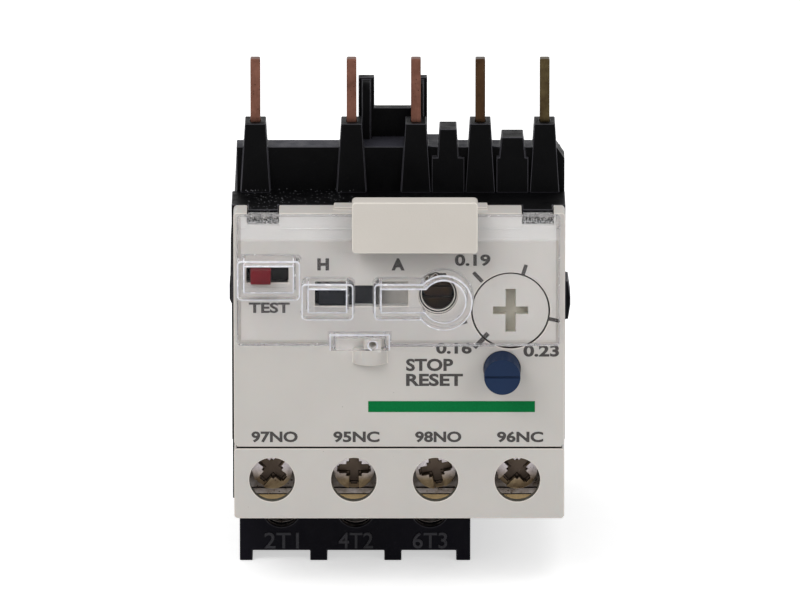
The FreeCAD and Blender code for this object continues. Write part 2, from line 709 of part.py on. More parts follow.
def prong_carrier():
    front = SHOULDER_DEPTH + RUN_FIT
    back = front + SHOULDER_THICK
    wall = block(SHOULDER_X, (front, back), (REAR_TOP, SHOULDER_TOP))
    wall = wall.cut(shoulder_corner((front - OVER, back + OVER)))
    ledge = block(HOOK_LEDGE_X, (front, back + HOOK_BACK), (REAR_TOP, SHOULDER_TOP))
    pillars = []
    for x in TOWER_X:
        pillars.append(tapered(x, TOWER_BASE_WIDTH, TOWER_TOP_WIDTH, (tower_front(SHELF_TOP), back),
                               tower_front(TOWER_TOP), (SHELF_TOP, TOWER_TOP)))
    for i in range(len(RIB_DROPS)):
        x = (TOWER_X[i + 2] + TOWER_X[i + 3]) / 2
        top = TOWER_TOP - RIB_DROPS[i]
        pillars.append(tapered(x, RIB_BASE_WIDTHS[i], RIB_BASE_WIDTHS[i], (tower_front(SHELF_TOP), back),
                               tower_front(RIB_SHELF), (SHELF_TOP, RIB_SHELF)))
        pillars.append(tapered(x, *RIB_WIDTHS[i], (tower_front(RIB_SHELF), back),
                               tower_front(top), (RIB_SHELF, top)))
    body = join([wall, ledge] + pillars)
    return body.cut(prong_slots() + hook_mortises()).removeSplitter()


def prong_slots():
    slots = []
    thick = grown(around(PRONG_DEPTH, PRONG_THICK), RUN_FIT)
    z = (REAR_TOP - OVER, TOWER_TOP + OVER)
    for x in TOWER_X:
        slots.append(block(grown(around(x, PRONG_WIDTH), RUN_FIT), thick, z))
    return slots


def prong_blade(x, bottom):
    blade = block(around(x, PRONG_WIDTH), around(PRONG_DEPTH, PRONG_THICK), (bottom, PRONG_TOP))
    tips = [e for e in blade.Edges if e.CenterOfMass.z > PRONG_TOP - LINE_GAP]
    return blade.makeChamfer(PRONG_TIP, tips)


def power_prong(i):
    blade = prong_blade(TOWER_X[i], PRONG_FOOT_Z)
    reach = sorted((TOWER_X[i], PHASE_X[i]))
    span = grown(reach, PRONG_WIDTH / 2)
    foot = block(span, (PRONG_DEPTH - PRONG_THICK / 2, PRONG_FOOT_BACK),
                 (PRONG_FOOT_Z, PRONG_FOOT_Z + PRONG_FOOT_WALL))
    return join([blade, foot])


def control_prong(i):
    return prong_blade(TOWER_X[i], CONTROL_PRONG_BOTTOM)


def hook_depths():
    front = SHOULDER_DEPTH + RUN_FIT + SHOULDER_THICK
    return (front, front + HOOK_BACK)


def hook_tenon(arm, gap):
    """Tenon under one arm of the hook or, with a gap, its mortise."""
    front, back = hook_depths()
    d = (front + HOOK_TENON_FRONT, back - HOOK_TENON_SIDE)
    return block(grown(arm, gap - HOOK_TENON_SIDE), grown(d, gap - RUN_FIT),
                 (SHOULDER_TOP - HOOK_TENON + RUN_FIT - gap, SHOULDER_TOP + gap))


def hook_mortises():
    return [hook_tenon(arm, RUN_FIT) for arm in HOOK_ARMS]


def contactor_hook():
    """Two finned arms joined by a cross plate, with tenons in the ledge."""
    front, back = hook_depths()
    plate_d = (back - HOOK_WALL, back)
    pieces = [block((HOOK_ARMS[0][0], HOOK_ARMS[1][1]), plate_d, (SHOULDER_TOP, HOOK_PLATE_TOP))]
    for arm in HOOK_ARMS:
        pieces.append(block(arm, plate_d, (SHOULDER_TOP, HOOK_TOP)))
        middle = (arm[0] + arm[1]) / 2
        fin = block(around(middle, HOOK_FIN), (front, back), (SHOULDER_TOP, HOOK_TOP - HOOK_FIN_DROP))
        crest = [e for e in fin.Edges if e.CenterOfMass.distanceToPoint(
            V(middle, PANEL_Y + front, HOOK_TOP - HOOK_FIN_DROP)) < LINE_GAP]
        pieces.append(fin.makeFillet(HOOK_BACK / 3, crest))
        pieces.append(hook_tenon(arm, 0))
    return join(pieces)


# ---- front cover and what is fixed to it
def cover_notches():
    z = (SHELF_TOP - WALL - JOINT_GAP, SHELF_TOP + OVER)
    return [block(notch, (-OVER, LIP_DEPTH + OVER), z) for notch in NOTCHES]


def cover_latches():
    arms = []
    hook_d = (LATCH_LENGTH - LATCH_HOOK_LENGTH, LATCH_LENGTH)
    for x in (-LATCH_X, LATCH_X):
        span = around(x, LATCH_WIDTH)
        ceiling = SHELF_TOP - WALL - RUN_FIT
        floor = CONTROL_TOP + WALL + RUN_FIT
        arms.append(block(span, (PANEL_WALL - BITE, LATCH_LENGTH), (ceiling - LATCH_WALL, ceiling)))
        arms.append(block(span, hook_d, (ceiling - LATCH_WALL, ceiling + LATCH_HOOK)))
        arms.append(block(span, (PANEL_WALL - BITE, LATCH_LENGTH), (floor, floor + LATCH_WALL)))
        arms.append(block(span, hook_d, (floor - LATCH_HOOK, floor + LATCH_WALL)))
    return arms


def cover_openings():
    deep = (-OVER, PANEL_WALL + OVER)
    return [
        rod_y(DIAL_R + DIAL_GAP, DIAL_X, DIAL_Z, deep),
        rod_y(RESET_R + RUN_FIT, RESET_X, RESET_Z, deep),
        rod_y(WELL_R, WELL_X, WELL_Z, (-OVER, WELL_RIM)),
        rod_y(WELL_BORE_R, WELL_X, WELL_Z, deep),
        block(TEST_SLOT[0], deep, TEST_SLOT[1]),
        block(SELECT_SLOT[0], deep, SELECT_SLOT[1]),
    ]


def seal_lug():
    """Bowed lug below the clear cover, and the post on it that stands inside the cover's hood."""
    middle = (SEAL_LUG_X[0] + SEAL_LUG_X[1]) / 2
    half = (SEAL_LUG_X[1] - SEAL_LUG_X[0]) / 2
    r = (half ** 2 + SEAL_LUG_PROUD ** 2) / (2 * SEAL_LUG_PROUD)
    z = (SEAL_LUG_BOTTOM, SEAL_HOOD_Z[0] - JOINT_GAP)
    bow = rod_z(r, middle, r - SEAL_LUG_PROUD, z)
    post = block(around(SEAL_HOLE_X, SEAL_POST_WIDTH), (-SEAL_POST_PROUD, BITE),
                 (z[1] - BITE, SEAL_HOOD_Z[1] - SEAL_HOOD_WALL - JOINT_GAP))
    return join([bow.common(block(SEAL_LUG_X, (-SEAL_LUG_PROUD, BITE), z)), post])


def seal_hole():
    """Hole for a seal wire, through the cover's hood and the post behind it."""
    return rod_y(SEAL_HOLE_R, SEAL_HOLE_X, SEAL_HOLE_Z, (-FRONT_REACH, 0))


def front_cover():
    panel = rounded_block(COVER_X, (0, LIP_DEPTH - JOINT_GAP), (PANEL_BOTTOM, SHELF_TOP),
                          COVER_CORNER)
    inner = COVER_HALF - LIP_WALL
    hollow = block((-inner, inner), (PANEL_WALL, LIP_DEPTH + OVER),
                   (PANEL_BOTTOM - OVER, SHELF_TOP - LIP_WALL))
    raised = block(LIP_RAISE_X, (LIP_RAISE_FRONT, LIP_DEPTH - JOINT_GAP),
                   (SHELF_TOP - BITE, SHELF_TOP + LIP_RAISE))
    body = join([panel.cut(hollow), raised] + cover_latches() + [seal_lug()])
    return body.cut(cover_openings() + cover_notches() + hinge_rods() + [seal_hole()]).removeSplitter()


def hinge_rods():
    return [rod_x(HINGE_PIN_R, grown(notch, HINGE_PIN_BITE), HINGE_DEPTH, HINGE_Z) for notch in NOTCHES]


def cover_hinge_pins():
    return Part.makeCompound(hinge_rods())


def slide_guide():
    """Plate behind the two sliders, with rails for the cam follower on its back."""
    front = PANEL_WALL + SLIDER_WALL + 2 * SLIDE_GAP
    back = front + GUIDE_WALL
    plate = block(GUIDE_X, (front, back), GUIDE_Z)
    bosses = [rod_y(GUIDE_BOSS_R, x, z, (PANEL_WALL, back)) for x, z in GUIDE_BOSSES]
    half = FOLLOWER_HEIGHT / 2 + SLIDE_GAP
    low = (DIAL_Z - half - GUIDE_RAIL, DIAL_Z - half)
    high = (DIAL_Z + half, DIAL_Z + half + GUIDE_RAIL)
    rails = [block((FOLLOWER_LEFT + GUIDE_RAIL, GUIDE_X[1]), (back - BITE, CAM_D[1]), z) for z in (low, high)]
    arm_slot = block((TEST_ARM[0] - TEST_ARM_ROOM, TEST_ARM[1] + TEST_TRAVEL + TEST_ARM_ROOM),
                     (front - OVER, back + OVER), grown(TEST_SLOT[1], TEST_ARM_ROOM))
    return join([plate] + bosses + rails).cut(arm_slot)


def marker_pegs(r):
    """Pegs of the marker holder, or their holes, through the clear plate."""
    d = clear_plate_depths()
    return [rod_y(r, x, MARKER_PEG_Z, (d[0] - BITE, d[1])) for x in grown(MARKER_X, -MARKER_PEG_INSET)]


def marker_holder():
    """Block for a device label, pegged to the clear cover and swinging with it."""
    body = rounded_block(MARKER_X, (-MARKER_PROUD, clear_plate_depths()[0]), MARKER_Z, MARKER_CORNER)
    return join([body] + marker_pegs(MARKER_PEG_R))


def lower_terminal_cover():
    x = COVER_X
    body = rounded_block(x, (0, CONTROL_COVER_DEPTH), (CONTROL_BOTTOM, CONTROL_TOP), COVER_CORNER)
    body = body.cut(block(grown(x, -COVER_WALL), (PANEL_WALL, CONTROL_COVER_DEPTH + OVER),
                          grown((CONTROL_BOTTOM, CONTROL_TOP), -COVER_WALL)))
    cuts = []
    for centre in CONTROL_X:
        cuts.append(rod_y(CONTROL_HOLE_R, centre, CONTROL_SCREW_Z, (-OVER, PANEL_WALL + OVER)))
        cuts.append(block(around(centre, WIRE_SLOT_WIDTH), WIRE_SLOT_D,
                          (CONTROL_BOTTOM - OVER, CONTROL_BOTTOM + COVER_WALL + OVER)))
    return body.cut(cuts)


# ---- clear cover
def clear_plate_depths():
    return (-CLEAR_WALL - RUN_FIT, -RUN_FIT)


def clear_pocket(x, z):
    """Hollow box that stands in front of the plate, open towards the panel."""
    outer = rounded_block(x, (-FRONT_REACH, -RUN_FIT), z, CLEAR_BOX_CORNER)
    inner = block(grown(x, -CLEAR_BOX_WALL), (CLEAR_BOX_WALL - FRONT_REACH, OVER), grown(z, -CLEAR_BOX_WALL))
    return outer, inner


def seal_hood():
    """Hood over the seal post, open below and towards the panel, and its hollow."""
    hollow_z = (SEAL_HOOD_Z[0] - OVER, SEAL_HOOD_Z[1] - SEAL_HOOD_WALL)
    return (block(SEAL_HOOD_X, (-SEAL_HOOD_PROUD, -RUN_FIT), SEAL_HOOD_Z),
            block(grown(SEAL_HOOD_X, -SEAL_HOOD_WALL), (SEAL_HOOD_WALL - SEAL_HOOD_PROUD, OVER), hollow_z))


def hinge_arms():
    arms = []
    for notch in NOTCHES:
        span = grown(notch, -JOINT_GAP - SLIDE_GAP)
        arms.append(rod_x(HINGE_EYE_R, span, HINGE_DEPTH, HINGE_Z))
        arms.append(block(span, (clear_plate_depths()[0], HINGE_DEPTH), around(HINGE_Z, 2 * HINGE_EYE_R)))
    return arms


def hinge_relief():
    """Rebate in the plate's upper inner edge, outside the arms, that clears the panel's corner."""
    z = (HINGE_Z - CLEAR_RELIEF_DROP, SHELF_TOP + OVER)
    edges = (CLEAR_X[0] - OVER,) + NOTCHES[0] + NOTCHES[1] + (CLEAR_X[1] + OVER,)
    return [block(edges[i:i + 2], (-RUN_FIT - CLEAR_RELIEF, OVER), z) for i in (0, 2, 4)]


def clear_cover():
    d = clear_plate_depths()
    top = HINGE_Z + HINGE_EYE_R
    plate = rounded_block(CLEAR_X, d, (CLEAR_BOTTOM, top), COVER_CORNER)
    hood, hood_hollow = seal_hood()
    outers, inners = zip(*[clear_pocket(*box) for box in (CLEAR_TEST_BOX, CLEAR_HAND_BOX, CLEAR_AUTO_BOX)])
    boss = rod_y(CLEAR_BOSS_R, CLEAR_BOSS_X, WELL_Z, (-FRONT_REACH, -RUN_FIT))
    boss_hollow = rod_y(CLEAR_BOSS_R - CLEAR_BOX_WALL, CLEAR_BOSS_X, WELL_Z,
                        (CLEAR_BOX_WALL - FRONT_REACH, OVER))
    body = join([plate, hood, boss] + list(outers) + hinge_arms())
    eyes = [rod_x(HINGE_PIN_R + RUN_FIT, notch, HINGE_DEPTH, HINGE_Z) for notch in NOTCHES]
    cuts = list(inners) + [boss_hollow, hood_hollow, seal_hole()] + hinge_relief() + eyes
    return body.cut(cuts + marker_pegs(MARKER_PEG_R)).removeSplitter()


# ---- controls
def cam_point(r, angle):
    return V(DIAL_X - r * math.cos(angle), PANEL_Y + CAM_D[0], DIAL_Z - r * math.sin(angle))


def spiral_cam():
    """Cam whose radius towards -X grows evenly as the dial turns clockwise, seen from the front."""
    full_turn = math.radians(DIAL_TURN)
    points = [cam_point(CAM_LOW_R, -CAM_LEAD)]
    for i in range(CAM_STEPS + 1):
        # each point faces -X once the dial has turned by its angle
        angle = (full_turn + CAM_LEAD) * i / CAM_STEPS
        points.append(cam_point(CAM_LOW_R + CAM_RISE * angle / full_turn, angle))
    outline = Part.Face(Part.makePolygon(points + points[:1]))
    return outline.extrude(V(0, CAM_D[1] - CAM_D[0], 0))


def setting_dial():
    front = DIAL_SET_BACK
    disc = rod_y(DIAL_R, DIAL_X, DIAL_Z, (front, PANEL_WALL + RUN_FIT))
    flange = rod_y(DIAL_R + DIAL_FLANGE, DIAL_X, DIAL_Z,
                   (PANEL_WALL + RUN_FIT, PANEL_WALL + RUN_FIT + DIAL_FLANGE_WALL))
    shaft = rod_y(DIAL_SHAFT_R, DIAL_X, DIAL_Z, (PANEL_WALL, DIAL_SHAFT_END))
    cross_d = (front - OVER, front + CROSS_DEEP)
    arm = block(around(DIAL_X, CROSS_ARM[0]), cross_d, around(DIAL_Z, CROSS_ARM[1]))
    bar = block(around(DIAL_X, CROSS_BAR[0]), cross_d, around(DIAL_Z, CROSS_BAR[1]))
    return join([disc, flange, shaft, spiral_cam()]).cut([arm, bar])


def setting_follower():
    """Sliding link whose rounded tip rides on the cam."""
    tip = DIAL_X - CAM_LOW_R - FOLLOWER_GAP
    neck = tip - FOLLOWER_NOSE
    d = (CAM_D[0] + SLIDE_GAP, CAM_D[1] - SLIDE_GAP)
    body = block((FOLLOWER_LEFT, neck), d, around(DIAL_Z, FOLLOWER_HEIGHT))
    nose = block((neck, tip - FOLLOWER_TIP / 2), d, around(DIAL_Z, FOLLOWER_TIP))
    return join([body, nose, rod_y(FOLLOWER_TIP / 2, tip - FOLLOWER_TIP / 2, DIAL_Z, d)])


def reset_button():
    flange_d = (PANEL_WALL + RUN_FIT, PANEL_WALL + RUN_FIT + RESET_FLANGE_WALL)
    cap = rod_y(RESET_R, RESET_X, RESET_Z, (-RESET_PROUD, flange_d[0]))
    flange = rod_y(RESET_FLANGE_R, RESET_X, RESET_Z, flange_d)
    stem = rod_y(RESET_STEM_R, RESET_X, RESET_Z, (flange_d[0], RESET_STEM_END))
    groove = block(grown((RESET_X, RESET_X), RESET_R), (-RESET_PROUD - OVER, RESET_GROOVE - RESET_PROUD),
                   around(RESET_Z, RESET_GROOVE))
    return join([cap, flange, stem]).cut(groove)


def reset_spring():
    span = (PANEL_WALL + RUN_FIT + RESET_FLANGE_WALL + LINE_GAP, MECHANISM_DEPTH - FRAME_WALL - LINE_GAP)
    centre = (RESET_X, PANEL_Y, RESET_Z)
    return ring_coil(V(0, 1, 0), centre, SPRING_COIL_R, SPRING_WIRE_R, SPRING_TURNS, span)


def slider_plate_d():
    return (PANEL_WALL + SLIDE_GAP, PANEL_WALL + SLIDE_GAP + SLIDER_WALL)


def test_slider():
    """Red trip slider: knob, plate behind the panel and an arm down to the contact carrier."""
    plate_d = slider_plate_d()
    knob = block(TEST_KNOB, (-TEST_PROUD, plate_d[1]), grown(TEST_SLOT[1], -SLIDE_GAP))
    plate = block(TEST_PLATE, plate_d, grown(TEST_SLOT[1], SLIDER_LAP))
    arm_d = (plate_d[0], LUG_D[1])
    bridge = block(TEST_ARM, arm_d, grown(TEST_SLOT[1], -SLIDE_GAP))
    leg_z = (CARRIER_Z[1] + SLIDE_GAP, TEST_SLOT[1][1] - SLIDE_GAP)
    leg = block(TEST_ARM, (arm_d[1] - TEST_LEG, arm_d[1]), leg_z)
    return join([knob, plate, bridge, leg])


def selector_slide():
    plate_d = slider_plate_d()
    knob = block(SELECT_KNOB, (KNOB_SET_BACK, plate_d[1]), grown(SELECT_SLOT[1], -SLIDE_GAP))
    plate = block(SELECT_PLATE, plate_d, grown(SELECT_SLOT[1], SLIDER_LAP))
    return join([knob, plate])


def calibration_screw():
    head = rod_y(CALIBRATION_HEAD_R, WELL_X, WELL_Z, CALIBRATION_HEAD)
    shank = rod_y(CALIBRATION_SHANK_R, WELL_X, WELL_Z, (CALIBRATION_HEAD[1], CALIBRATION_END))
    slot_d = (CALIBRATION_HEAD[0] - OVER, CALIBRATION_HEAD[0] + CALIBRATION_SLOT_DEEP)
    slot = block(grown((WELL_X, WELL_X), CALIBRATION_HEAD_R), slot_d, around(WELL_Z, CALIBRATION_SLOT))
    return join([head, shank]).cut(slot)


# ---- control terminals and contacts
def contact_tab_x(i):
    """Face of terminal i's fixed contact tab that carries its contact button."""
    normally_open = i in (0, 2)
    side = -1 if normally_open else 1
    return CONTROL_X[i] + side * TAB_WALL / 2, side


def tab_depth(i):
    return NO_D if i in (0, 2) else NC_D


def tab_levels():
    top = CARRIER_Z[0] - STRIP_WALL - TAB_GAP
    return (top - TAB_DROP, top)


def control_terminal(i):
    """Terminal bar: clamp face below, neck through the case floor, contact tab above."""
    x = CONTROL_X[i]
    bar_d = (CONTROL_BAR_DEPTH, CONTROL_WALL_DEPTH)
    low_z, high_z = tab_levels()
    face = block(around(x, CONTROL_BAR_WIDTH), bar_d, (CONTROL_BAR_BOTTOM, CONTROL_TOP - BAR_LAP))
    neck = block(around(x, CONTROL_BAR_NECK), bar_d, (CONTROL_SCREW_Z, high_z))
    tab = block(around(x, TAB_WALL), (tab_depth(i), bar_d[1]), (low_z, high_z))
    hole = rod_y(CONTROL_SCREW_R + RUN_FIT, x, CONTROL_SCREW_Z, grown(bar_d, OVER))
    return join([face, neck, tab]).cut(hole)


def fixed_contacts():
    discs = []
    low_z, high_z = tab_levels()
    for i in range(CONTROL_COUNT):
        face, side = contact_tab_x(i)
        span = sorted((face, face + side * CONTACT_THICK))
        discs.append(rod_x(CONTACT_R, span, tab_depth(i) + STRIP_WIDTH / 2, (low_z + high_z) / 2))
    return Part.makeCompound(discs)


def moving_face(i):
    """Face of the moving contact button of terminal i, and the side it lies on."""
    face, side = contact_tab_x(i)
    gap = OPEN_GAP if i in (0, 2) else LINE_GAP
    return face + side * (CONTACT_THICK + gap), side


def moving_contacts():
    discs = []
    low_z, high_z = tab_levels()
    for i in range(CONTROL_COUNT):
        face, side = moving_face(i)
        span = sorted((face, face + side * CONTACT_THICK))
        discs.append(rod_x(CONTACT_R, span, tab_depth(i) + STRIP_WIDTH / 2, (low_z + high_z) / 2))
    return Part.makeCompound(discs)


def contact_strip(first, second):
    """Bridge under the carrier that links two terminals through its end tabs."""
    d = (tab_depth(first), tab_depth(first) + STRIP_WIDTH)
    low_z, high_z = tab_levels()
    tabs = []
    for i in (first, second):
        face, side = moving_face(i)
        start = face + side * CONTACT_THICK
        tabs.append(sorted((start, start + side * TAB_WALL)))
    strip = block((min(tabs[0][0], tabs[1][0]), max(tabs[0][1], tabs[1][1])), d,
                  (CARRIER_Z[0] - STRIP_WALL, CARRIER_Z[0]))
    return join([strip] + [block(x, d, (low_z, CARRIER_Z[0])) for x in tabs])


def contact_carrier():
    """Insulating bar that carries both contact bridges."""
    bar = block(CARRIER_X, CARRIER_D, CARRIER_Z)
    lug_x = TEST_ARM[1] + TEST_GAP
    lug = block((lug_x, lug_x + POST_WIDTH), LUG_D, (CARRIER_Z[1] - BITE, SNAP_Z))
    spring_lug = block((SPRING_X[0] - POST_WIDTH, SPRING_X[0]), LUG_D,
                       (CARRIER_Z[1] - BITE, SNAP_Z + SNAP_COIL_R))
    return join([bar, lug, spring_lug])


def snap_spring():
    depth = (LUG_D[0] + LUG_D[1]) / 2
    span = grown(SPRING_X, -LINE_GAP)
    return ring_coil(V(1, 0, 0), (0, PANEL_Y + depth, SNAP_Z), SNAP_COIL_R - SPRING_WIRE_R, SPRING_WIRE_R,
                     SNAP_TURNS, span)


def control_clamp(i):
    """Square clamp washer under the head of a control screw."""
    back = CONTROL_BAR_DEPTH - JOINT_GAP
    d = (back - CONTROL_CLAMP_WALL, back)
    plate = block(around(CONTROL_X[i], CONTROL_CLAMP), d, around(CONTROL_SCREW_Z, CONTROL_CLAMP))
    return plate.cut(rod_y(CONTROL_SCREW_R + RUN_FIT, CONTROL_X[i], CONTROL_SCREW_Z, grown(d, OVER)))


def control_screw(i):
    back = CONTROL_BAR_DEPTH - JOINT_GAP - CONTROL_CLAMP_WALL - LINE_GAP
    return slotted_screw(CONTROL_X[i], CONTROL_SCREW_Z, CONTROL_HEAD_R, (back - CONTROL_HEAD, back),
                         CONTROL_SCREW_R, CONTROL_SCREW_END)


# ---- load terminals and heaters
def load_terminal_block():
    """Moulding under the case, open below its three cells; its barrier walls are the relay's feet."""
    support = (LOAD_PLATE_DEPTH + LOAD_PLATE_WALL, LOAD_PLATE_DEPTH + LOAD_PLATE_WALL + LOAD_SUPPORT)
    height = (BLOCK_BOTTOM, CONTROL_BOTTOM)
    pieces = [block(x, (LOAD_FRONT, LOAD_BLOCK_BACK), (0, CONTROL_BOTTOM)) for x in LOAD_WALLS]
    pieces.append(block(LOAD_BLOCK_X, (LOAD_FRONT, LOAD_FRONT + WALL), height))
    pieces.append(block(LOAD_BLOCK_X, support, height))
    pieces.append(block(LOAD_BLOCK_X, (LOAD_BLOCK_BACK - WALL, LOAD_BLOCK_BACK), height))
    pieces.append(block(LOAD_BLOCK_X, (support[0], LOAD_BLOCK_BACK), (BLOCK_BOTTOM, BLOCK_BOTTOM + WALL)))
    holes = []
    for x in PHASE_X:
        holes.append(rod_y(LOAD_HOLE_R, x, LOAD_SCREW_Z, (LOAD_FRONT - OVER, LOAD_FRONT + WALL + OVER)))
        holes.append(rod_y(LOAD_SCREW_R + JOINT_GAP, x, LOAD_SCREW_Z,
                           (LOAD_PLATE_DEPTH, LOAD_SCREW_END + JOINT_GAP)))
    return join(pieces).cut(holes)


def load_busbar(i):
    """Terminal plate, run along the chamber floor and upright that carries the bimetal."""
    x = around(PHASE_X[i], BUSBAR_WIDTH)
    plate_d = (LOAD_PLATE_DEPTH, LOAD_PLATE_DEPTH + LOAD_PLATE_WALL)
    run_z = (PHASE_FLOOR + JOINT_GAP, PHASE_FLOOR + JOINT_GAP + BUSBAR_WALL)
    plate = block(x, plate_d, (LOAD_PLATE_BOTTOM, run_z[1]))
    run = block(x, (plate_d[0], BUSBAR_BACK + BUSBAR_WALL), run_z)
    upright = block(x, (BUSBAR_BACK, BUSBAR_BACK + BUSBAR_WALL), (run_z[0], HEATER_Z + BIMETAL_HEIGHT / 2))
    hole = rod_y(LOAD_SCREW_R + RUN_FIT, PHASE_X[i], LOAD_SCREW_Z, grown(plate_d, OVER))
    return join([plate, run, upright]).cut(hole)


def load_clamp(i):
    back = LOAD_PLATE_DEPTH - JOINT_GAP
    d = (back - LOAD_CLAMP_WALL, back)
    plate = block(around(PHASE_X[i], LOAD_CLAMP), d, around(LOAD_SCREW_Z, LOAD_CLAMP))
    return plate.cut(rod_y(LOAD_SCREW_R + RUN_FIT, PHASE_X[i], LOAD_SCREW_Z, grown(d, OVER)))


def load_screw(i):
    back = LOAD_PLATE_DEPTH - JOINT_GAP - LOAD_CLAMP_WALL - LINE_GAP
    return slotted_screw(PHASE_X[i], LOAD_SCREW_Z, LOAD_HEAD_R, (back - LOAD_HEAD, back), LOAD_SCREW_R,
                         LOAD_SCREW_END)


def bimetal_strips():
    strips = [block(around(x, BIMETAL_WALL), (BIMETAL_FRONT, BUSBAR_BACK), around(HEATER_Z, BIMETAL_HEIGHT))
              for x in PHASE_X]
    return Part.makeCompound(strips)


def heater_sleeves():
    """Insulating tubes round the bimetals."""
    tubes = []
    for x in PHASE_X:
        bore = rod_y(SLEEVE_R - SLEEVE_WALL, x, HEATER_Z, grown(SLEEVE_D, OVER))
        tubes.append(rod_y(SLEEVE_R, x, HEATER_Z, SLEEVE_D).cut(bore))
    return Part.makeCompound(tubes)


def heater_coils():
    coils = [ring_coil(V(0, 1, 0), (x, PANEL_Y, HEATER_Z), COIL_R, COIL_WIRE_R, COIL_TURNS, COIL_D)
             for x in PHASE_X]
    return Part.makeCompound(coils)


# ---- trip mechanism
def push_bar():
    """Bar above the bimetals; its fingers hang at their right and its nose meets the lever."""
    z = (PUSH_BAR_Z, PUSH_BAR_Z + BAR_HEIGHT)
    end = LEVER_X - LEVER_WALL / 2 - JOINT_GAP
    pieces = [block((BAR_LEFT, end - NOSE_STEP), BAR_D, z),
              block((end - NOSE_WIDTH, end), NOSE_D, (NOSE_BOTTOM, z[1]))]
    for x in PHASE_X:
        left = x + BIMETAL_WALL / 2 + JOINT_GAP
        pieces.append(block((left, left + BAR_FINGER), BAR_D, (PUSH_BAR_Z - BAR_REACH, PUSH_BAR_Z + BITE)))
    return join(pieces).cut(diff_pin_hole(PUSH_BAR_Z + BAR_HEIGHT / 2))


def pull_bar():
    """Bar below the bimetals, with fingers at their left that follow them back."""
    z = (PULL_BAR_Z, PULL_BAR_Z + BAR_HEIGHT)
    pieces = [block((BAR_LEFT, DIFF_X[1] + BAR_TAIL), BAR_D, z)]
    for x in PHASE_X:
        right = x - BIMETAL_WALL / 2 - JOINT_GAP - TRIP_TRAVEL
        pieces.append(block((right - BAR_FINGER, right), BAR_D, (z[1] - BITE, z[1] + BAR_REACH)))
    return join(pieces).cut(diff_pin_hole(PULL_BAR_Z + BAR_HEIGHT / 2))


def diff_pin_hole(z):
    d = (BAR_D[0] + DIFF_HOLE_START, BAR_D[1] + OVER)
    return rod_y(DIFF_PIN_R + RUN_FIT, (DIFF_X[0] + DIFF_X[1]) / 2, z, d)


def differential_lever():
    """Link pinned to both bars."""
    z = grown((PULL_BAR_Z, PUSH_BAR_Z + BAR_HEIGHT), DIFF_END)
    plate_d = (BAR_D[1] + JOINT_GAP, BAR_D[1] + JOINT_GAP + DIFF_WALL)
    middle = (DIFF_X[0] + DIFF_X[1]) / 2
    pins = [rod_y(DIFF_PIN_R, middle, bar_z + BAR_HEIGHT / 2, (BAR_D[0] + DIFF_PIN_START, plate_d[1]))
            for bar_z in (PUSH_BAR_Z, PULL_BAR_Z)]
    return join([block(DIFF_X, plate_d, z)] + pins)


def trip_lever():
    """Ambient-compensating lever that turns on an upright pin."""
    blade = block(around(LEVER_X, LEVER_WALL), LEVER_D, LEVER_Z)
    hub = rod_z(LEVER_HUB_R, LEVER_X, LEVER_DEPTH, LEVER_Z)
    finger = block(around(LEVER_X, LEVER_WALL), (LEVER_D[0], LEVER_D[0] + LEVER_FINGER),
                   (CARRIER_Z[1] + FINGER_GAP, LEVER_Z[1]))
    bore = rod_z(LEVER_PIN_R + RUN_FIT, LEVER_X, LEVER_DEPTH, grown(LEVER_Z, OVER))
    return join([blade, hub, finger]).cut(bore)


def lever_pin():
    return rod_z(LEVER_PIN_R, LEVER_X, LEVER_DEPTH, EAR_Z)


def mechanism_frame():
    """Plate on the chamber's back wall with two ears for the lever pin."""
    d = (MECHANISM_DEPTH - FRAME_WALL, MECHANISM_DEPTH)
    plate = block(FRAME_X, d, FRAME_Z)
    window = block((LEVER_X - LEVER_ROOM, FRAME_X[1] + OVER), grown(d, OVER), grown(LEVER_Z, FINGER_GAP))
    ears = []
    for z in ((EAR_Z[0], LEVER_Z[0] - JOINT_GAP), (LEVER_Z[1] + JOINT_GAP, EAR_Z[1])):
        ears.append(block(around(LEVER_X, 2 * LEVER_HUB_R), (LEVER_DEPTH - LEVER_HUB_R, d[1]), z))
    back_rib = block((FRAME_X[1] - FRAME_RIB, FRAME_X[1]), d, (EAR_Z[0], FRAME_Z[1]))
    pin = rod_z(LEVER_PIN_R, LEVER_X, LEVER_DEPTH, grown(EAR_Z, OVER))
    stem = rod_y(RESET_STEM_R + JOINT_GAP, RESET_X, RESET_Z, grown(d, OVER))
    return join([plate.cut(window), back_rib] + ears).cut([pin, stem])


